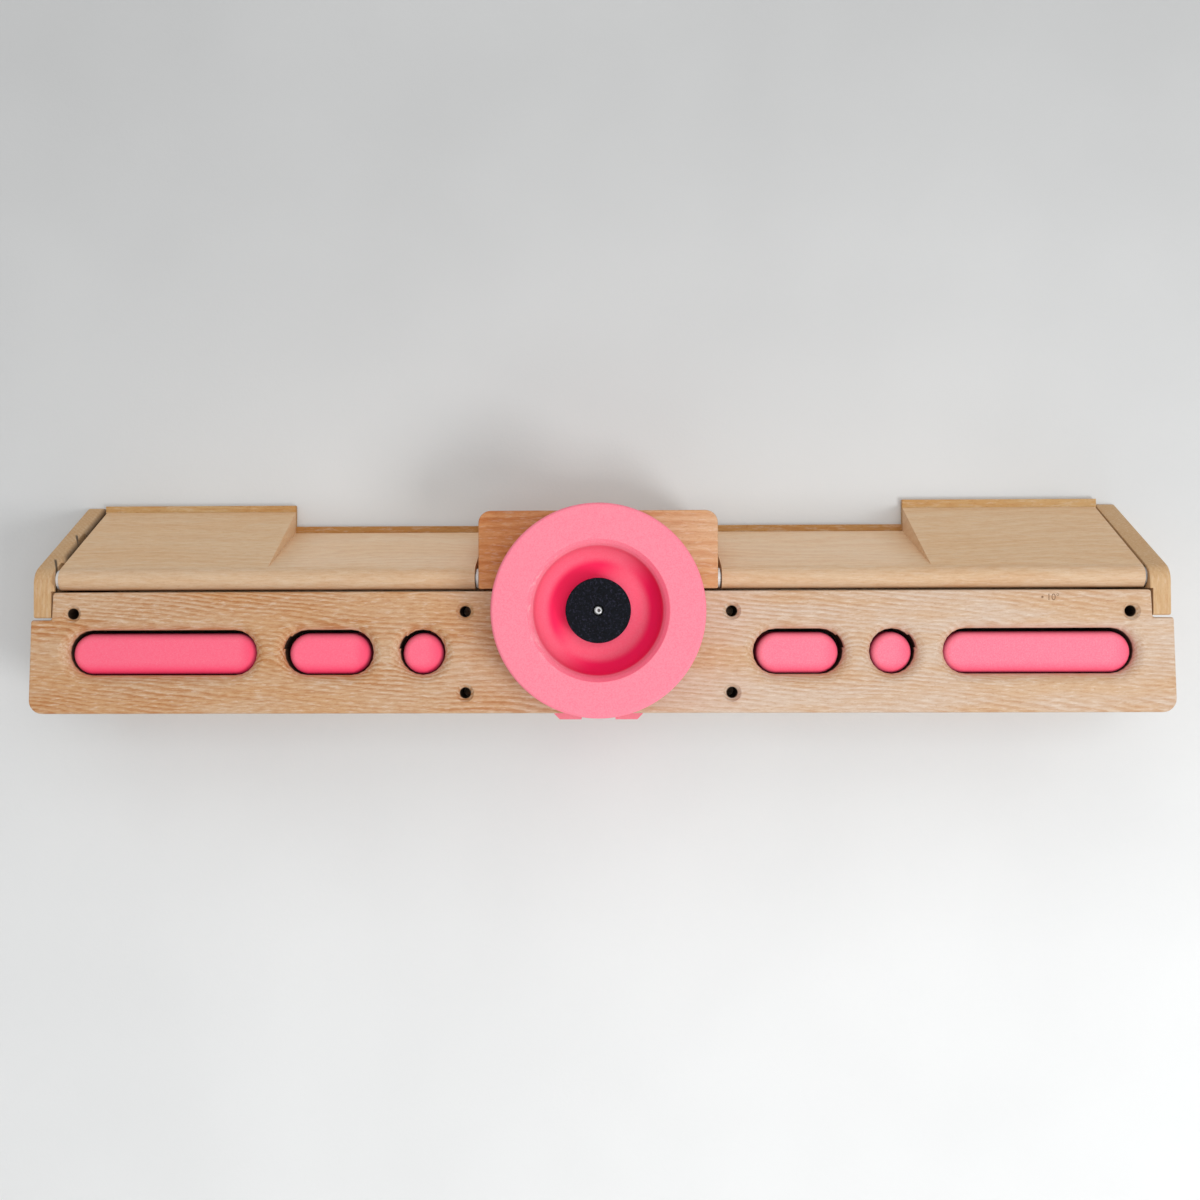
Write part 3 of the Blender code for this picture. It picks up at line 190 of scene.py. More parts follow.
class Finish:
    """A material under construction."""

    def __init__(self, name):
        self.material = bpy.data.materials.new(name)
        self.material.use_nodes = True
        self.tree = self.material.node_tree
        self.shader = self.tree.nodes["Principled BSDF"]

    def node(self, kind, settings=None, values=None, output=0):
        """A node of that type, its settings set first, then its socket values or links."""
        node = self.tree.nodes.new(kind)
        for name, value in (settings or {}).items():
            if name == "stops":
                self.set_stops(node.color_ramp, value)
            else:
                setattr(node, name, value)
        for name, value in (values or {}).items():
            self.feed(node.inputs[name], value)
        return Wire(self, node.outputs[output])

    def set_stops(self, ramp, stops):
        while len(ramp.elements) < len(stops):
            ramp.elements.new(1)
        for element, (position, value) in zip(ramp.elements, stops):
            element.position = position
            element.color = value

    def feed(self, socket, value):
        if isinstance(value, Wire):
            self.tree.links.new(value.socket, socket)
        else:
            socket.default_value = value

    def surface(self, **values):
        """Sets the shader's own sockets; an underscore in a name stands for a space."""
        for name, value in values.items():
            self.feed(self.shader.inputs[name.replace("_", " ")], value)

    def place(self, centre=(0, 0, 0), turn=(0, 0, 0)):
        """Object coordinates in millimetres about a centre, in a turned frame."""
        coordinates = self.node("ShaderNodeTexCoord", output="Object")
        values = {"Vector": coordinates, "Location": centre, "Rotation": turn, "Scale": (MM, MM, MM)}
        return self.node("ShaderNodeMapping", {"vector_type": "TEXTURE"}, values)

    def stretch(self, point, factors):
        return self.node("ShaderNodeVectorMath", {"operation": "MULTIPLY"}, {0: point, 1: factors})

    def parts(self, point):
        """The three coordinates of a point."""
        split = self.node("ShaderNodeSeparateXYZ", None, {"Vector": point}).socket.node
        return [Wire(self, socket) for socket in split.outputs]

    def noise(self, point, factors=(1, 1, 1), detail=2.0, roughness=0.5, distortion=0.0):
        values = {
            "Vector": self.stretch(point, factors),
            "Scale": 1,
            "Detail": detail,
            "Roughness": roughness,
            "Distortion": distortion,
        }
        return self.node("ShaderNodeTexNoise", None, values)

    def rise(self, value, low, high):
        """0 below low, 1 above high, and smooth between them."""
        values = {"Value": value, "From Min": low, "From Max": high}
        return self.node("ShaderNodeMapRange", {"interpolation_type": "SMOOTHSTEP"}, values)

    def fract(self, value):
        return self.node("ShaderNodeMath", {"operation": "FRACT"}, {0: value})

    def mix(self, factor, first, second, blend="MIX"):
        settings = {"data_type": "RGBA", "blend_type": blend, "clamp_factor": True}
        return self.node("ShaderNodeMix", settings, {0: factor, 6: first, 7: second}, 2)

    def bump(self, height, depth, strength=1.0):
        """A relief of that depth in metres."""
        return self.node("ShaderNodeBump", None, {"Height": height, "Distance": depth, "Strength": strength})


def solid(rgb, gain=1.0):
    return (*(min(part * gain, 1) for part in rgb), 1)


# Finishes


# Near black that is painted into the wood as shade in pockets, holes and gaps
SHADE_BLACK = (0.016, 0.009, 0.006, 1)
PALE_DASH = (0.84, 0.74, 0.63, 1)
FIBRE = (0.84, 0.80, 0.75, 1)


def beech(name, pale, grain, turn=(0, 0, 0), centre=(0, 0, 0), far=None, nose=None, dark=None):
    """Sanded beech. The grain runs along the turned frame's X, and its rings lie nearly parallel to XZ.

    far and nose are (colour, start, end), in millimetres, where the wood changes along the board or towards its
    front; on the block, the slopers and the strips that change along the board is painted shade. dark is a function
    that says where painted shade, near black, is laid over the wood.
    """
    wood = bpy.context.scene.hangboard_beech
    finish = Finish(name)
    point = finish.place(centre, turn)
    along, through, across = finish.parts(point)
    drift = finish.noise(point, (0.0045, 0.014, 0.014), 1.5)
    wave = finish.noise(point, (0.016, 0.06, 0.06), 2, 0.5)
    jag = finish.noise(point, (0.30, 1.0, 1.0), 2, 0.6)
    height = across + through * grain["through"] + along * grain["slant"]
    height = height + (drift - 0.5) * grain["wander"] + (wave - 0.5) * grain["wave"] + (jag - 0.5) * grain["jag"]
    ring = finish.fract(height / grain["spacing"])
    line = finish.rise(ring, 0.05, 0.72) * (1 - finish.rise(ring, 0.78, 1.0))
    patch = 0.3 + finish.rise(finish.noise(point, (0.014, 0.07, 0.07), 2), 0.3, 0.66) * 0.7
    band = finish.rise(finish.noise(point, (0.010, 0.055, 0.055), 3, 0.6), 0.36, 0.64)
    dash = finish.noise(point, (0.13, 0.85, 0.85), 3, 0.65)
    fibre = finish.noise(point, (0.10, 3.0, 3.0), 3, 0.6)
    fleck = finish.rise(finish.noise(point, (0.5, 2.4, 1.8), 1), 0.62, 0.70)
    tone = solid(pale)
    strength = 1
    if far:
        x = finish.parts(finish.place())[0]
        change = finish.rise(x, far[1], far[2])
        tone = finish.mix(change, tone, solid(far[0]))
        strength = 1 - change * grain["calm"]
    if nose:
        y = finish.parts(finish.place())[1]
        tone = finish.mix(finish.rise(y, nose[1], nose[2]), solid(nose[0]), tone)
    tone = finish.mix(band * grain["bands"], tone, solid(wood.warm), "MULTIPLY")
    tone = finish.mix(line * patch * strength * grain["lines"], tone, solid(wood.line), "MULTIPLY")
    tone = finish.mix(finish.rise(dash, 0.50, 0.64) * strength * grain["dashes"], tone, solid(wood.line), "MULTIPLY")
    tone = finish.mix((1 - finish.rise(dash, 0.34, 0.47)) * grain["dashes"] * 0.6, tone, PALE_DASH)
    tone = finish.mix(fleck * grain["flecks"], tone, solid(wood.fleck), "MULTIPLY")
    tone = finish.mix(finish.rise(fibre, 0.35, 0.7) * 0.5, tone, FIBRE, "MULTIPLY")
    if dark:
        tone = finish.mix(dark(finish), tone, SHADE_BLACK)
    finish.surface(
        Base_Color=tone,
        Roughness=0.5 + fibre * 0.18,
        Normal=finish.bump(fibre * 0.6 - fleck * 0.5 - line * 0.3 - dash * 0.4, 0.06 * MM),
        Specular_IOR_Level=0.3,
    )
    return finish.material


# The functions below say where painted shade, near black, is laid over a board's colour, in recesses and gaps that
# lie in shade. Their places are in millimetres.

FIXING_HOLES = ((317.4, 23.7), (80, 24.4))
CHEEK_NICKS = ((-328.4, -46, -34), (-328.8, -75, -63))


def painted_shade_in_pockets(finish):
    """Painted shade on the walls of the pockets deep behind the face and inside the fixing holes, which lie in
    shade.
    """
    x, y, z = finish.parts(finish.place())
    behind = y - PLATE_FACE / MM
    pocket_height = 1 - finish.rise(abs(z), 14.7, 15.0)
    marks_and_shade = finish.rise(behind, 5.6, 7.5) * pocket_height * (1 - finish.rise(abs(x), 323, 325))
    marks_and_shade = marks_and_shade * (1 - finish.rise(behind, 23, 23.6))
    for hole_x, hole_z in FIXING_HOLES:
        side, up = abs(x) - hole_x, abs(z) - hole_z
        hole = 1 - finish.rise((side * side + up * up) ** 0.5, 3.7, 4.0)
        marks_and_shade = marks_and_shade.maths("MAXIMUM", marks_and_shade, hole * finish.rise(behind, 1.9, 2.6))
    return marks_and_shade * 0.95


def painted_shade_behind_pockets(finish):
    """Painted shade on the back board's face towards the pockets, which lies in shade behind the plugs."""
    y = finish.parts(finish.place())[1]
    return (1 - finish.rise(y, -14.9, -14.2)) * 0.95


def painted_shade_on_cheek_edge(finish):
    """Painted shade on the left cheek's rounded inner edge, in the gap beside the sloper, and in the two nicks
    beside it.
    """
    x, y, _ = finish.parts(finish.place())
    marks_and_shade = finish.rise(x, -332.4, -328.9) * finish.rise(y, -66, -58) * 0.9
    for nick_x, front, rear in CHEEK_NICKS:
        width = 1 - finish.rise(abs(x - nick_x + (y - front) * 0.55), 0.4, 1.1)
        reach = finish.rise(y, front, front + 1) * (1 - finish.rise(y, rear - 3, rear))
        marks_and_shade = marks_and_shade.maths("MAXIMUM", marks_and_shade, width * reach)
    return marks_and_shade * 0.85


def painted_shade_in_spacers(finish):
    """Painted shade on the end spacers' inner faces, which lie in shade behind the plate."""
    x = finish.parts(finish.place())[0]
    return (1 - finish.rise(abs(x), 324, 325)) * 0.95


# Each board's grain. Wander, wave, jag and spacing are in millimetres, and the rest are slopes and shares. Calm is
# how much weaker the lines and dashes are at the far end.

PLATE_GRAIN = {
    "slant": 0.12,
    "through": 1.1,
    "wander": 34,
    "wave": 7,
    "jag": 1.3,
    "spacing": 3.3,
    "lines": 1.0,
    "bands": 1.0,
    "dashes": 0.55,
    "flecks": 0.35,
    "calm": 0.4,
}
SLOPER_GRAIN = PLATE_GRAIN | {
    "slant": 0.02,
    "wander": 90,
    "wave": 12,
    "spacing": 9,
    "lines": 0.22,
    "bands": 0.3,
    "dashes": 0.25,
    "flecks": 0.2,
    "calm": 0,
}
BLOCK_GRAIN = PLATE_GRAIN | {"slant": 0.0, "dashes": 0.38, "wander": 16, "wave": 5, "spacing": 5.5}
STRIP_GRAIN = PLATE_GRAIN | {"slant": 0.01, "wander": 10, "wave": 2, "spacing": 2.6, "lines": 0.4, "dashes": 0.3}
CHEEK_GRAIN = PLATE_GRAIN | {"slant": 0.0, "wander": 12, "wave": 3, "lines": 0.35, "bands": 0.4, "dashes": 0.25}


def printed(name, pink):
    """Pink nylon from a powder printer, matt and finely grained: the finish, its tone, relief and coordinates."""
    plastic = bpy.context.scene.hangboard_plastic
    finish = Finish(name)
    point = finish.place(WHEEL_AXIS)
    grit = finish.noise(point, (1.2, 1.2, 1.2), 3, 0.7)
    cloud = finish.noise(point, (0.06, 0.06, 0.06), 2)
    speck = finish.rise(finish.noise(point, (1.9, 1.9, 1.9), 1), 0.58, 0.72)
    tone = finish.mix(finish.rise(grit, 0.62, 0.36) * 0.2, solid(pink), solid(plastic.deep))
    tone = finish.mix(cloud * 0.10, tone, solid(pink, 0.92))
    tone = finish.mix(speck * 0.14, tone, (1, 0.62, 0.66, 1))
    finish.surface(Roughness=0.62 + grit * 0.16, Specular_IOR_Level=0.14)
    return finish, tone, grit * 0.8 + speck * 0.4, point


def coloured(finish, tone, relief):
    """Gives a printed finish its colour and relief."""
    finish.surface(Base_Color=tone, Normal=finish.bump(relief, 0.05 * MM))
    return finish.material


def printed_block():
    finish, tone, relief, _ = printed("printed_block", bpy.context.scene.hangboard_plastic.pink)
    return coloured(finish, tone, relief)


def printed_wheel():
    """The wheel's pink, with painted shade deepening it in the cup and a painted highlight on the left of the cup's
    edge.
    """
    plastic = bpy.context.scene.hangboard_plastic
    finish, tone, relief, point = printed("printed_wheel", plastic.pink)
    side, depth, height = finish.parts(point)
    radius = (side * side + height * height) ** 0.5
    # Painted shade: the bevel and wall deepen towards the lower right, which faces away from the light, and the
    # floor towards the upper left, where the cap's shadow falls.
    lower_right = (side * 0.8 - height * 0.6) / 30
    bevel = 0.10 + finish.rise(lower_right, -0.9, 0.9) * 0.30
    wall = 0.42 + finish.rise(lower_right, -0.35, 0.6) * 0.56
    floor = 0.94 - finish.rise(lower_right, -0.55, 0.05) * 0.46
    # From the middle outwards: the cup's floor up to 27 mm, its wall up to 37 mm and its bevel up to 41 mm
    deep = floor + (wall - floor) * finish.rise(radius, 27, 32)
    deep = deep + (bevel - deep) * finish.rise(radius, 37.1, 37.8)
    deep = deep * (1 - finish.rise(radius, 40.9, 41.3)) * finish.rise(0 - depth, 80, 83)
    tone = finish.mix(deep, tone, solid(plastic.deep))
    # Painted highlight: the left of the cup's edge, which faces the light, is paler, broken into streaks.
    edge = finish.rise(radius, 37.4, 38.2) * (1 - finish.rise(radius, 41.0, 42.5))
    streak = finish.rise(finish.noise(point, (0.10, 0.6, 0.22), 3, 0.7), 0.5, 0.7)
    lit_streaks = edge * streak * finish.rise(0 - side, 8, 34)
    tone = finish.mix(lit_streaks * 0.45, tone, (1, 0.56, 0.60, 1))
    layers = finish.fract(depth / 0.3) * edge * 0.8
    return coloured(finish, tone, relief + layers - lit_streaks * 0.4)


def printed_plug(node, right_end):
    """A plug's pink with painted shade: deeper along its rounded and low edges and at its right end, where the
    pocket's rim shades it, and on the board's left half, which gets less light.
    """
    plastic = bpy.context.scene.hangboard_plastic
    finish, tone, relief, point = printed(f"printed_{node}", plastic.plug)
    side, depth, height = finish.parts(point)
    rolled = finish.rise(depth, PLATE_FACE / MM + 6.4, PLATE_FACE / MM + 10.5) * 0.6
    low = finish.rise(height, -30, -38.4) * 0.55 + finish.rise(side, right_end - 12, right_end - 1) * 0.35
    left = 0.28 - finish.rise(side, -160, 60) * 0.28
    tone = finish.mix(rolled.maths("MAXIMUM", rolled, low + left), tone, solid(plastic.deep))
    return coloured(finish, tone, relief)


def cap_plastic():
    """Nearly black powder-printed nylon with pale grit."""
    plastic = bpy.context.scene.hangboard_plastic
    finish = Finish("cap_plastic")
    point = finish.place(WHEEL_AXIS)
    grit = finish.noise(point, (0.9, 0.9, 0.9), 2, 0.7)
    speck = finish.rise(finish.noise(point, (0.85, 0.85, 0.85), 2, 0.7), 0.53, 0.68)
    tone = finish.mix(finish.rise(grit, 0.3, 0.7), solid(plastic.cap, 0.5), solid(plastic.cap, 1.8))
    tone = finish.mix(speck * 0.5, tone, (0.034, 0.034, 0.06, 1))
    relief = finish.bump(grit + speck * 0.5, 0.06 * MM)
    finish.surface(Base_Color=tone, Roughness=0.6 + grit * 0.2, Normal=relief, Specular_IOR_Level=0.1)
    return finish.material


def metal(name, rgb, roughness, along=(0.2, 4.0, 4.0)):
    """Turned or drawn metal with fine marks and a little staining."""
    finish = Finish(name)
    point = finish.place()
    marks_and_shade = finish.noise(point, along, 3, 0.6)
    stain = finish.rise(finish.noise(point, (0.15, 0.15, 0.15), 2), 0.4, 0.7)
    tone = finish.mix(stain * 0.25, solid(rgb), solid(rgb, 0.72))
    finish.surface(
        Base_Color=tone,
        Metallic=1,
        Roughness=roughness + marks_and_shade * 0.18 + stain * 0.06,
        Normal=finish.bump(marks_and_shade, 0.01 * MM),
    )
    return finish.material


def nylon():
    """Off-white turned nylon."""
    finish = Finish("white_nylon")
    point = finish.place()
    marks_and_shade = finish.noise(point, (4, 0.6, 0.6), 2)
    cloud = finish.noise(point, (0.3, 0.3, 0.3), 2)
    rgb = bpy.context.scene.hangboard_plastic.nylon
    tone = finish.mix(cloud, solid(rgb, 0.93), solid(rgb, 1.04))
    finish.surface(Base_Color=tone, Roughness=0.36 + marks_and_shade * 0.14, Normal=finish.bump(marks_and_shade, 0.02 * MM))
    return finish.material


def felt():
    """Dark pressed wool felt."""
    finish = Finish("wool_felt")
    point = finish.place()
    hair = finish.noise(point, (1.1, 3.0, 3.0), 4, 0.75, 1.5)
    lint = finish.rise(finish.noise(point, (2.2, 5, 5), 2, 0.7, 2), 0.6, 0.75)
    tone = finish.mix(hair, (0.045, 0.045, 0.05, 1), (0.15, 0.15, 0.16, 1))
    tone = finish.mix(lint * 0.4, tone, (0.32, 0.31, 0.30, 1))
    finish.surface(Base_Color=tone, Roughness=0.95, Normal=finish.bump(hair, 0.3 * MM))
    return finish.material


def burnt_ink():
    """Brown of a mark burnt into the wood."""
    finish = Finish("burnt_mark")
    point = finish.place()
    char = finish.noise(point, (1.2, 3, 3), 3, 0.7)
    tone = finish.mix(finish.rise(char, 0.35, 0.7), (0.17, 0.085, 0.04, 1), (0.36, 0.21, 0.12, 1))
    finish.surface(Base_Color=tone, Roughness=0.85, Normal=finish.bump(char, 0.02 * MM))
    return finish.material


# Pieces


def add_piece(name, bm, finish, body, nodes, crease=35):
    """Makes an object of bm, shaded smooth up to the crease angle, that stands for the CAD nodes."""
    limit = math.radians(crease)
    for face in bm.faces:
        face.smooth = True
    for edge in bm.edges:
        edge.smooth = edge.calc_face_angle(0) < limit
    mesh = bpy.data.meshes.new(name)
    bm.to_mesh(mesh)
    bm.free()
    mesh.materials.append(finish)
    piece = bpy.data.objects.new(name, mesh)
    bpy.context.scene.collection.objects.link(piece)
    normals = piece.modifiers.new("flat faces stay flat", "WEIGHTED_NORMAL")
    normals.keep_sharp = True
    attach(piece, body)
    if nodes:
        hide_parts(*nodes)
    return piece


def joined(node):
    """A bmesh of a packed solid, with its loose triangles merged and its flat faces made whole."""
    bm = bmesh.new()
    bm.from_mesh(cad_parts[node].data)
    bmesh.ops.remove_doubles(bm, verts=bm.verts, dist=0.001 * MM)
    bmesh.ops.dissolve_limit(bm, angle_limit=math.radians(0.4), verts=bm.verts, edges=bm.edges)
    return bm


def finished(node, body, finish, crease=35):
    """A packed solid with its curves shaded smooth and its own finish."""
    return add_piece(f"{node}_finished", joined(node), finish, body, [node], crease)


def facing_front(bm, centre):
    """Turns a piece made about Z to face the front, with its axis through centre."""
    turn = Matrix.Translation(centre) @ Matrix.Rotation(math.radians(90), 4, "X")
    bmesh.ops.transform(bm, matrix=turn, verts=bm.verts)


def turned(corners, steps):
    """Spins corners (radius, height, rounding) about Z, and rounds each ring of edges by its own size."""
    bm = bmesh.new()
    verts = [bm.verts.new((radius, 0, height)) for radius, height, _ in corners]
    edges = [bm.edges.new(pair) for pair in zip(verts, verts[1:] + verts[:1])]
    bmesh.ops.spin(
        bm, geom=verts + edges, cent=(0, 0, 0), axis=(0, 0, 1), angle=math.tau, steps=steps, use_merge=True
    )
    bmesh.ops.remove_doubles(bm, verts=bm.verts, dist=0.01 * MM)
    bmesh.ops.recalc_face_normals(bm, faces=bm.faces)
    for radius, height, rounding in corners:
        if rounding:
            round_ring(bm, radius, height, rounding)
    return bm


def round_ring(bm, radius, height, rounding):
    """Rounds the ring of edges at that radius and height. A large round gets more steps."""
    at = Vector((radius, height))
    ring = [
        edge
        for edge in bm.edges
        if all((Vector((vert.co.xy.length, vert.co.z)) - at).length < 0.02 * MM for vert in edge.verts)
    ]
    if not ring:
        raise RuntimeError(f"there is no ring at radius {radius} and height {height}")
    steps = 10 if rounding > 5 * MM else 4
    bmesh.ops.bevel(
        bm, geom=ring, offset=rounding, offset_type="OFFSET", segments=steps, profile=0.5,
        affect="EDGES", material=-1, clamp_overlap=False,
    )


class MakeStep(bpy.types.Operator):
    """Base of the operators below: each stops the script with an error if it can't finish"""

    bl_options = {"REGISTER", "UNDO"}

    def execute(self, context):
        self.make(context)
        return {"FINISHED"}


class HANGBOARD_OT_boards(MakeStep):
    """Front plate with its six pockets, back board, end spacers, sleeves and dowels"""

    bl_idname = "hangboard.boards"
    bl_label = "Boards"

    def make(self, context):
        wood = context.scene.hangboard_beech
        grain = PLATE_GRAIN | {"spacing": wood.spacing / MM}
        far = (wood.far, -140, 120)
        face = beech("beech_plate", wood.pale, grain, far=far, dark=painted_shade_in_pockets)
        finished("front_plate", "frame", face, 40)
        rear = beech("beech_back", wood.pale, grain | {"lines": 0.5, "slant": -0.02}, dark=painted_shade_behind_pockets)
        finished("back_board", "frame", rear)
        upright = beech("beech_end_grain_up", wood.pale, grain, turn=(0, math.radians(90), 0), dark=painted_shade_in_spacers)
        dowel = beech("beech_dowel", wood.pale, grain | {"lines": 0.4}, turn=(0, math.radians(90), 0))
        sleeve = metal("turned_aluminium", (0.75, 0.76, 0.77), 0.28, (3.0, 0.3, 3.0))
        for side in SIDES:
            finished(f"end_spacer_{side}", "frame", upright)
            finished(f"block_dowel_{side}", "frame", dowel)
            for row in ("upper", "lower"):
                finished(f"spacer_sleeve_{row}_{side}", "frame", sleeve)


class HANGBOARD_OT_block(MakeStep):
    """Centre block behind the handwheel"""

    bl_idname = "hangboard.block"
    bl_label = "Centre block"

    def make(self, context):
        wood = context.scene.hangboard_beech
        # Deeper towards the left end: painted shadow of the wheel.
        finish = beech("beech_block", wood.block, BLOCK_GRAIN, centre=(0.05, 0, 0.1), far=(wood.block_far, -30, 50))
        finished("centre_block", "frame", finish, 40)


class HANGBOARD_OT_cheeks(MakeStep):
    """Left and right cheek, which close the ends and carry the slopers"""

    bl_idname = "hangboard.cheeks"
    bl_label = "Cheeks"
    rounding: length("Left inner round", "Rounding of the left cheek's sloped inner edge", 3.5 * MM)
    steps: IntProperty(name="Steps", description="Planes that cut the round", default=5, min=1, max=16)

    def make(self, context):
        wood = context.scene.hangboard_beech
        upright = (0, math.radians(90), 0)
        finish = beech("beech_cheek", wood.cheek, CHEEK_GRAIN, turn=upright)
        finished("cheek_right", "frame", finish, 40)
        shaded = beech("beech_cheek_left", wood.cheek, CHEEK_GRAIN, turn=upright, dark=painted_shade_on_cheek_edge)
        bm = joined("cheek_left")
        self.round_inner_edge(bm)
        add_piece("cheek_left_finished", bm, shaded, "frame", ["cheek_left"], 40)

    def round_inner_edge(self, bm):
        """Cuts the sloped inner edge back by planes that touch a round of the given radius."""
        inner = max(vert.co.x for vert in bm.verts)
        sloped = [face for face in bm.faces if face.normal.y < -0.3 and face.normal.z > 0.3]
        slope = max(sloped, key=lambda face: face.calc_area())
        outward = slope.normal.copy()
        centre = slope.calc_center_median() - outward * self.rounding
        centre.x = inner - self.rounding
        for step in range(1, self.steps + 1):
            angle = math.radians(90) * step / (self.steps + 1)
            normal = Vector((math.cos(angle), 0, 0)) + outward * math.sin(angle)
            cut = bmesh.ops.bisect_plane(
                bm, geom=bm.verts[:] + bm.edges[:] + bm.faces[:], dist=0.001 * MM,
                plane_co=centre + normal * self.rounding, plane_no=normal, clear_outer=True,
            )["geom_cut"]
            rims = [edge for edge in bm.edges if edge.is_boundary]
            if cut and rims:
                bmesh.ops.edgenet_fill(bm, edges=rims)
        bmesh.ops.recalc_face_normals(bm, faces=bm.faces)


class HANGBOARD_OT_slopers(MakeStep):
    """Two tilting slopers with the strips along their rear edges and their guide pins"""

    bl_idname = "hangboard.slopers"
    bl_label = "Slopers"
    step_at: length("Step", "Distance from the middle to the step between a sloper's two halves", 191 * MM)
    # Where the painted shade on the strips' inner halves begins.
    strip_step: length("Strip's step", "Distance from the middle to the change of wood in the strips", 201 * MM)

    def make(self, context):
        wood = context.scene.hangboard_beech
        steel = metal("pin_steel", (0.56, 0.57, 0.58), 0.25)
        tilt = (math.radians(25), 0, 0)
        nose = (wood.nose, -75.5, -70.5)
        for side, way in zip(SIDES, (-1, 1)):
            left_end, right_end = (wood.sloper, wood.steep)[::way]
            # The steeper outer half takes a darker tone: painted shade.
            far = (right_end, way * self.step_at / MM - 16, way * self.step_at / MM + 16)
            face = beech(f"beech_sloper_{side}", left_end, SLOPER_GRAIN, tilt, far=far, nose=nose)
            # The inner halves take the darker tone: painted shade.
            left_end, right_end = (wood.strip_dark, wood.strip)[::way]
            far = (right_end, way * self.strip_step / MM - 1, way * self.strip_step / MM + 1)
            strip = beech(f"beech_strip_{side}", left_end, STRIP_GRAIN, far=far)
            body = f"sloper_{side}"
            add_piece(f"sloper_board_{side}", joined(body), face, body, [body], 40)
            finished(f"sloper_strip_{side}", body, strip)
            finished(f"tilt_pin_{side}", body, steel)


# The back of the wheel from its rim to its hub, as radius, height and rounding in millimetres
WHEEL_BACK = ((45, 14.5, 0.8), (42, 12.5, 0.8), (40.5, 9, 0.6), (38.5, 8, 0.5), (18, 8, 1), (15.5, 6.8, 0.5))


class HANGBOARD_OT_handwheel(MakeStep):
    """Printed handwheel with a cup in its face"""

    bl_idname = "hangboard.handwheel"
    bl_label = "Handwheel"

    def make(self, context):
        wheel = context.scene.hangboard_wheel
        edge = wheel.face - wheel.cup_drop
        corners = [
            (wheel.bore, wheel.cup_floor, 0),
            (wheel.cup_wall, wheel.cup_floor, wheel.cup_fillet),
            (wheel.cup_edge, edge, 0.25 * MM),
            (wheel.cup_edge + 1.3 * MM, edge + 2.1 * MM, 0.4 * MM),
            (wheel.cup_mouth, wheel.face, 0.5 * MM),
            (wheel.radius, wheel.face, 2 * MM),
            (wheel.radius, 15.6 * MM, 2.8 * MM),
            *[(radius * MM, height * MM, rounding * MM) for radius, height, rounding in WHEEL_BACK],
            (14 * MM, wheel.hub_rear, 0.3 * MM),
            (wheel.bore, wheel.hub_rear, 0),
        ]
        bm = turned(corners, wheel.steps)
        facing_front(bm, WHEEL_AXIS + Vector((0, PLATE_FACE, 0)))
        add_piece("handwheel_printed", bm, printed_wheel(), "dial", ["handwheel"], 25)


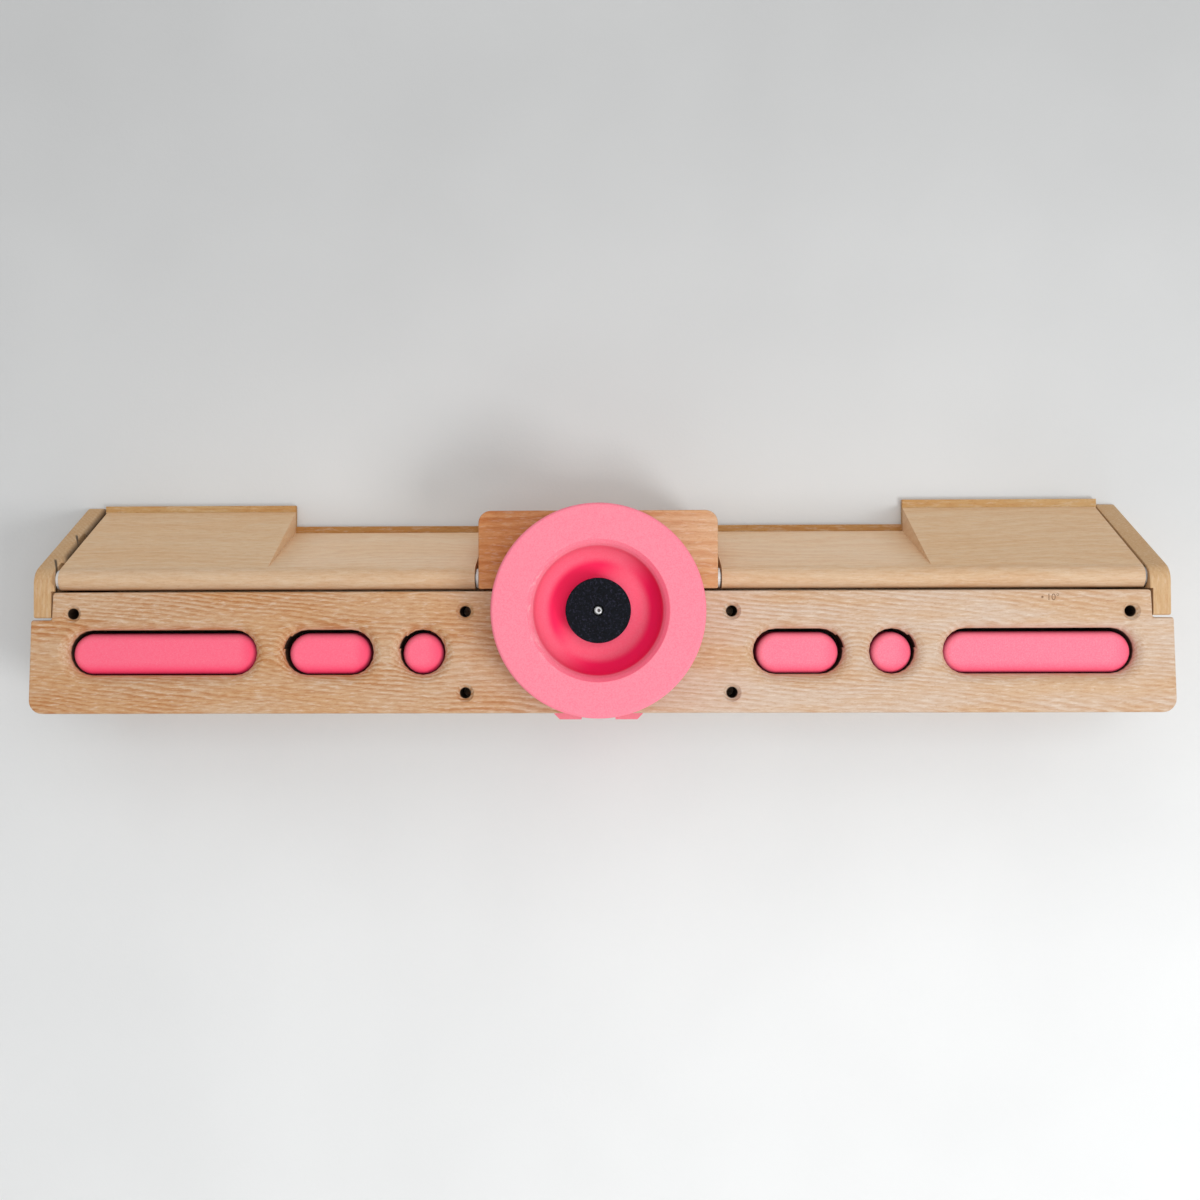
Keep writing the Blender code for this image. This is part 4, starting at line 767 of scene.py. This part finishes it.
class HANGBOARD_OT_cap(MakeStep):
    """Black cap in the cup and the round-headed screw that holds it"""

    bl_idname = "hangboard.cap"
    bl_label = "Cap and screw"
    screw_seat: length("Screw seat", "Height of the screw's seat in the cap", 21.3 * MM)
    head_radius: length("Head radius", "Radius of the screw's head", 3 * MM)
    head_height: length("Head height", "Height of the screw's round head", 2.4 * MM)

    def make(self, context):
        wheel = context.scene.hangboard_wheel
        at_plate = WHEEL_AXIS + Vector((0, PLATE_FACE, 0))
        hole, counterbore, gap = 2.3 * MM, 3.2 * MM, 0.3 * MM
        seat = self.screw_seat - gap
        corners = [
            (hole, seat, 0),
            (counterbore, seat, 0),
            (counterbore, wheel.cap_face, 0.15 * MM),
            (wheel.cap_radius, wheel.cap_face, 0.7 * MM),
            (wheel.cap_radius, wheel.cup_floor + gap, 0.2 * MM),
            (hole, wheel.cup_floor + gap, 0),
        ]
        bm = turned(corners, 96)
        facing_front(bm, at_plate)
        add_piece("wheel_cap_printed", bm, cap_plastic(), "dial", ["wheel_cap"], 30)
        bm = self.round_head()
        facing_front(bm, at_plate + Vector((0, -self.screw_seat, 0)))
        bright = metal("bright_steel", (0.36, 0.36, 0.365), 0.30, (2, 2, 2))
        add_piece("cap_screw_head", bm, bright, "dial", ["cap_screw"], 30)

    def round_head(self):
        """A domed head with a hexagonal socket, and its shank, from the seat at height 0."""
        bm = bmesh.new()
        shank, shank_end = 2 * MM, -24.3 * MM
        rim_height, mouth = 0.5 * MM, 1.5 * MM
        socket, socket_depth = 1.15 * MM, 1.2 * MM
        outline = [(shank, shank_end), (shank, 0), (self.head_radius, 0), (self.head_radius, rim_height)]
        for degrees in range(15, 91, 15):
            angle = math.radians(degrees)
            reach = self.head_radius - (self.head_radius - mouth) * (1 - math.cos(angle))
            outline.append((reach, rim_height + (self.head_height - rim_height) * math.sin(angle)))
        verts = [bm.verts.new((radius, 0, height)) for radius, height in outline]
        edges = [bm.edges.new(pair) for pair in zip(verts, verts[1:])]
        bmesh.ops.spin(
            bm, geom=verts + edges, cent=(0, 0, 0), axis=(0, 0, 1), angle=math.tau, steps=48, use_merge=True
        )
        bmesh.ops.remove_doubles(bm, verts=bm.verts, dist=0.005 * MM)
        rim = [edge for edge in bm.edges if edge.is_boundary and edge.verts[0].co.z > 0]
        tip = [edge for edge in bm.edges if edge.is_boundary and edge.verts[0].co.z < 0]
        bmesh.ops.contextual_create(bm, geom=tip)
        lift = Matrix.Translation((0, 0, self.head_height - 0.1 * MM))
        hexagon = bmesh.ops.create_circle(bm, segments=6, radius=socket, matrix=lift)["verts"]
        sides = list({edge for vert in hexagon for edge in vert.link_edges})
        cuts = bmesh.ops.subdivide_edges(bm, edges=sides, cuts=7)["geom_inner"]
        loop = {item for item in cuts if isinstance(item, bmesh.types.BMVert)} | set(hexagon)
        sides = [edge for edge in bm.edges if edge.verts[0] in loop and edge.verts[1] in loop]
        bmesh.ops.bridge_loops(bm, edges=rim + sides)
        wall = bmesh.ops.extrude_edge_only(bm, edges=sides)["geom"]
        low = [item for item in wall if isinstance(item, bmesh.types.BMVert)]
        bmesh.ops.translate(bm, verts=low, vec=(0, 0, -socket_depth))
        floor = [item for item in wall if isinstance(item, bmesh.types.BMEdge) and item.is_boundary]
        bmesh.ops.contextual_create(bm, geom=floor)
        bmesh.ops.recalc_face_normals(bm, faces=bm.faces)
        return bm


class HANGBOARD_OT_plugs(MakeStep):
    """Six printed plugs that close the bottoms of the pockets"""

    bl_idname = "hangboard.plugs"
    bl_label = "Plugs"

    def make(self, context):
        rounding = context.scene.hangboard_plastic.plug_round
        for kind in PLUG_KINDS:
            for side in SIDES:
                node = f"plug_{kind}_{side}"
                self.plug(node, rounding, printed_plug(node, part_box(node)[1].x / MM))

    def plug(self, node, rounding, finish):
        """A block with round ends that fills the solid's box, its front edge rounded."""
        low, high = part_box(node)
        centre = (low + high) / 2
        radius = (high.z - low.z) / 2
        half = (high.x - low.x) / 2 - radius
        bm = bmesh.new()
        segments = 96
        quarter = Matrix.Rotation(math.radians(90) + math.pi / segments, 4, "Z")
        bmesh.ops.create_circle(bm, segments=segments, radius=radius, cap_ends=True, matrix=quarter)
        for way in (-1, 1):
            end = [vert for vert in bm.verts if vert.co.x * way > 0]
            bmesh.ops.translate(bm, verts=end, vec=(way * half, 0, 0))
        depth = high.y - low.y
        moved = bmesh.ops.extrude_face_region(bm, geom=bm.faces[:])["geom"]
        front = [item for item in moved if isinstance(item, bmesh.types.BMVert)]
        bmesh.ops.translate(bm, verts=front, vec=(0, 0, depth))
        bmesh.ops.recalc_face_normals(bm, faces=bm.faces)
        rim = [edge for edge in bm.edges if all(vert.co.z > depth / 2 for vert in edge.verts)]
        bmesh.ops.bevel(
            bm, geom=rim, offset=rounding, offset_type="OFFSET", segments=6, profile=0.5,
            affect="EDGES", material=-1, clamp_overlap=False,
        )
        facing_front(bm, (centre.x, high.y, centre.z))
        add_piece(f"{node}_printed", bm, finish, "carriage", [node], 30)


class HANGBOARD_OT_carriage(MakeStep):
    """Bar that carries the plugs, its guide bushes, the nut block with its feet, the nut and the screws"""

    bl_idname = "hangboard.carriage"
    bl_label = "Carriage"

    def make(self, context):
        steel = metal("socket_screw_steel", (0.45, 0.46, 0.47), 0.3)
        bar = metal("black_anodised_aluminium", (0.02, 0.02, 0.022), 0.4, (0.05, 5.0, 5.0))
        finished("carriage_bar", "carriage", bar)
        finished("nut_block", "carriage", printed_block())
        finished("lead_nut", "carriage", metal("turned_brass", (0.78, 0.57, 0.25), 0.25, (2.5, 0.3, 2.5)))
        bronze = metal("sintered_bronze", (0.6, 0.38, 0.2), 0.4, (1.5, 1.5, 1.5))
        for side in SIDES:
            finished(f"guide_bush_{side}", "carriage", bronze)
            finished(f"nut_screw_{side}", "carriage", steel)
            for kind in PLUG_KINDS:
                finished(f"plug_screw_{kind}_{side}", "carriage", steel)


class HANGBOARD_OT_spindle(MakeStep):
    """Lead screw, the two bushes it turns in and the lock nut behind"""

    bl_idname = "hangboard.spindle"
    bl_label = "Lead screw"

    def make(self, context):
        bronze = metal("bearing_bronze", (0.6, 0.38, 0.2), 0.35, (1.5, 1.5, 1.5))
        steel = metal("turned_steel", (0.56, 0.57, 0.58), 0.24, (2.5, 0.3, 2.5))
        finished("front_bush", "frame", bronze)
        finished("rear_bush", "frame", bronze)
        finished("rear_lock_nut", "dial", steel)
        finished("lead_screw", "dial", steel)


class HANGBOARD_OT_hardware(MakeStep):
    """Nylon pivots, felt pads, guide rods and the frame's screws"""

    bl_idname = "hangboard.hardware"
    bl_label = "Pivots, rods and screws"

    def make(self, context):
        white = nylon()
        pad = felt()
        rod = metal("ground_rod_steel", (0.60, 0.61, 0.62), 0.18, (3, 0.1, 3))
        screw = metal("zinc_plated_steel", (0.58, 0.58, 0.57), 0.3, (1.2, 1.2, 1.2))
        for side in SIDES:
            finished(f"pivot_inner_{side}", "frame", white)
            finished(f"pivot_outer_{side}", "frame", white)
            finished(f"rest_pad_{side}", "frame", pad)
            finished(f"guide_rod_{side}", "frame", rod)
            finished(f"cheek_screw_front_{side}", "frame", screw)
            finished(f"cheek_screw_rear_{side}", "frame", screw)
            finished(f"board_screw_{side}", "frame", screw)


class HANGBOARD_OT_mark(MakeStep):
    """Small scale mark, a dot and 10 degrees, burnt into the plate's face"""

    bl_idname = "hangboard.mark"
    bl_label = "Scale mark"
    place: FloatVectorProperty(
        name="Place", description="Where the mark starts on the plate's face", size=2, default=(0.2636, 0.0303),
        subtype="TRANSLATION", unit="LENGTH",
    )
    height: length("Letter size", "Size of the mark's figures", 5.5 * MM)

    def make(self, context):
        curve = bpy.data.curves.new("mark", "FONT")
        curve.body = "• 10°"
        curve.size = self.height
        text = bpy.data.objects.new("mark", curve)
        context.scene.collection.objects.link(text)
        context.view_layer.update()
        mesh = bpy.data.meshes.new_from_object(text.evaluated_get(context.evaluated_depsgraph_get()))
        bpy.data.objects.remove(text)
        bm = bmesh.new()
        bm.from_mesh(mesh)
        bpy.data.meshes.remove(mesh)
        bmesh.ops.remove_doubles(bm, verts=bm.verts, dist=0.001 * MM)
        facing_front(bm, (self.place[0], PLATE_FACE - 0.02 * MM, self.place[1]))
        add_piece("scale_mark", bm, burnt_ink(), "frame", [])


# Where the photograph was taken from, in metres, and the camera's yaw, pitch and roll in degrees
CAMERA_AT = (0.0001, -0.7989, 0.0222)
CAMERA_TURN = (-0.884, 0.716, -0.171)
AIM = Vector((0, -0.05, 0.02))


class HANGBOARD_OT_stage(MakeStep):
    """Wall, floor, soft light and the camera at the photograph's viewing angle"""

    bl_idname = "hangboard.stage"
    bl_label = "Stage"

    def make(self, context):
        settings = context.scene.hangboard_stage
        self.plane("wall", Matrix.Rotation(math.radians(90), 4, "X"), (0, 0.4 * MM, 0), self.wall(settings))
        self.plane("floor", Matrix.Identity(4), (0, 0, -1.3), self.floor(settings))
        self.area("window", (0.82, -1.30, -0.56), 0.5, settings.window)
        self.area("front", (0.2, -1.7, 0.1), 1.0, settings.front)
        self.area("low", (0.2, -1.0, -1.0), 0.7, settings.low)
        self.area("ceiling", (-0.1, -0.9, 1.2), 1.4, settings.ceiling)
        self.world(context, settings)
        self.camera(context)
        context.scene.view_settings.view_transform = "Standard"

    def plane(self, name, turn, place, material):
        bm = bmesh.new()
        bmesh.ops.create_grid(bm, x_segments=1, y_segments=1, size=6, matrix=Matrix.Translation(place) @ turn)
        mesh = bpy.data.meshes.new(name)
        bm.to_mesh(mesh)
        bm.free()
        mesh.materials.append(material)
        plane = bpy.data.objects.new(name, mesh)
        bpy.context.scene.collection.objects.link(plane)

    def wall(self, settings):
        """Painted plaster, seen from the front only, so that the back of the board can be looked at."""
        finish = Finish("painted_wall")
        point = finish.place()
        stipple = finish.noise(point, (0.5, 0.5, 0.5), 3, 0.6)
        cloud = finish.noise(point, (0.006, 0.006, 0.006), 2)
        # The wall darkens towards the top: painted shade.
        up = finish.rise(finish.parts(point)[2], -300, 420)
        tone = finish.mix(cloud * 0.3 + up * 0.7, solid(settings.wall, 1.12), solid(settings.wall, 0.70))
        finish.surface(Base_Color=tone, Roughness=0.9, Normal=finish.bump(stipple, 0.08 * MM))
        behind = finish.node("ShaderNodeNewGeometry", output="Backfacing")
        ray_length = finish.node("ShaderNodeLightPath", output="Ray Length")
        touching = finish.node("ShaderNodeMath", {"operation": "LESS_THAN"}, {0: ray_length, 1: 4 * MM})
        not_seen = 1 - finish.node("ShaderNodeLightPath", output="Is Camera Ray")
        through = behind.maths("MAXIMUM", behind, touching * not_seen)
        clear = finish.node("ShaderNodeBsdfTransparent")
        painted = Wire(finish, finish.shader.outputs[0])
        mixed = finish.node("ShaderNodeMixShader", None, {0: through, 1: painted, 2: clear})
        finish.feed(finish.tree.nodes["Material Output"].inputs["Surface"], mixed)
        return finish.material

    def floor(self, settings):
        """Pale, slightly cloudy floor far below the board."""
        finish = Finish("pale_floor")
        point = finish.place()
        cloud = finish.noise(point, (0.004, 0.004, 0.004), 3)
        tone = finish.mix(cloud, solid(settings.floor, 0.96), solid(settings.floor, 1.03))
        finish.surface(Base_Color=tone, Roughness=0.85)
        return finish.material

    def area(self, name, place, size, power):
        """A square light that faces the board."""
        light = bpy.data.lights.new(name, "AREA")
        light.energy = power
        light.size = size
        lamp = bpy.data.objects.new(name, light)
        lamp.location = place
        lamp.rotation_euler = (AIM - lamp.location).to_track_quat("-Z", "Y").to_euler()
        bpy.context.scene.collection.objects.link(lamp)

    def world(self, context, settings):
        """Plain light from all round, which looks pale where it is seen or mirrored."""
        world = bpy.data.worlds.new("room")
        world.use_nodes = True
        tree = world.node_tree
        room = tree.nodes["Background"]
        room.inputs["Color"].default_value = (0.985, 0.99, 1, 1)
        room.inputs["Strength"].default_value = settings.room
        seen = tree.nodes.new("ShaderNodeBackground")
        seen.inputs["Color"].default_value = (0.86, 0.86, 0.85, 1)
        seen.inputs["Strength"].default_value = 1
        light = tree.nodes.new("ShaderNodeLightPath")
        pick = tree.nodes.new("ShaderNodeMath")
        pick.operation = "MAXIMUM"
        tree.links.new(light.outputs["Is Camera Ray"], pick.inputs[0])
        tree.links.new(light.outputs["Is Glossy Ray"], pick.inputs[1])
        mixed = tree.nodes.new("ShaderNodeMixShader")
        tree.links.new(pick.outputs[0], mixed.inputs[0])
        tree.links.new(room.outputs[0], mixed.inputs[1])
        tree.links.new(seen.outputs[0], mixed.inputs[2])
        tree.links.new(mixed.outputs[0], tree.nodes["World Output"].inputs["Surface"])
        context.scene.world = world

    def camera(self, context):
        """The photograph's view, with the lens shifted as much as its frame is."""
        data = bpy.data.cameras.new("camera")
        data.lens = 36
        data.sensor_width = 36
        data.shift_x = 0.0168
        yaw, pitch, roll = (math.radians(angle) for angle in CAMERA_TURN)
        ahead = Vector((math.sin(yaw) * math.cos(pitch), math.cos(yaw) * math.cos(pitch), math.sin(pitch)))
        right = Vector((math.cos(yaw), -math.sin(yaw), 0))
        up = right.cross(ahead)
        level = right * math.cos(roll) + up * math.sin(roll)
        upright = up * math.cos(roll) - right * math.sin(roll)
        camera = bpy.data.objects.new("camera", data)
        context.scene.collection.objects.link(camera)
        place = Matrix((level, upright, -ahead)).transposed().to_4x4()
        place.translation = CAMERA_AT
        camera.matrix_world = place
        context.scene.camera = camera


STEPS = (
    HANGBOARD_OT_boards,
    HANGBOARD_OT_block,
    HANGBOARD_OT_cheeks,
    HANGBOARD_OT_slopers,
    HANGBOARD_OT_handwheel,
    HANGBOARD_OT_cap,
    HANGBOARD_OT_plugs,
    HANGBOARD_OT_carriage,
    HANGBOARD_OT_spindle,
    HANGBOARD_OT_hardware,
    HANGBOARD_OT_mark,
    HANGBOARD_OT_stage,
)
SETTINGS = {
    "hangboard_beech": BeechSettings,
    "hangboard_wheel": WheelSettings,
    "hangboard_plastic": PlasticSettings,
    "hangboard_stage": StageSettings,
}


class HANGBOARD_PT_panel(bpy.types.Panel):
    """Lists the steps that build the hangboard"""

    bl_idname = "HANGBOARD_PT_panel"
    bl_label = "Hangboard"
    bl_space_type = "VIEW_3D"
    bl_region_type = "UI"
    bl_category = "Hangboard"

    def draw(self, context):
        for name, group in SETTINGS.items():
            box = self.layout.box()
            box.label(text=group.__doc__)
            for field in group.__annotations__:
                box.prop(getattr(context.scene, name), field)
        for step in STEPS:
            self.layout.operator(step.bl_idname)


CLASSES = (*SETTINGS.values(), *STEPS, HANGBOARD_PT_panel)


def register():
    for item in CLASSES:
        bpy.utils.register_class(item)
    for name, group in SETTINGS.items():
        setattr(bpy.types.Scene, name, PointerProperty(type=group))


def unregister():
    for name in SETTINGS:
        delattr(bpy.types.Scene, name)
    for item in reversed(CLASSES):
        bpy.utils.unregister_class(item)


def main():
    register()
    for step in STEPS:
        group, name = step.bl_idname.split(".")
        getattr(getattr(bpy.ops, group), name)()


if __name__ == "__main__":
    main()
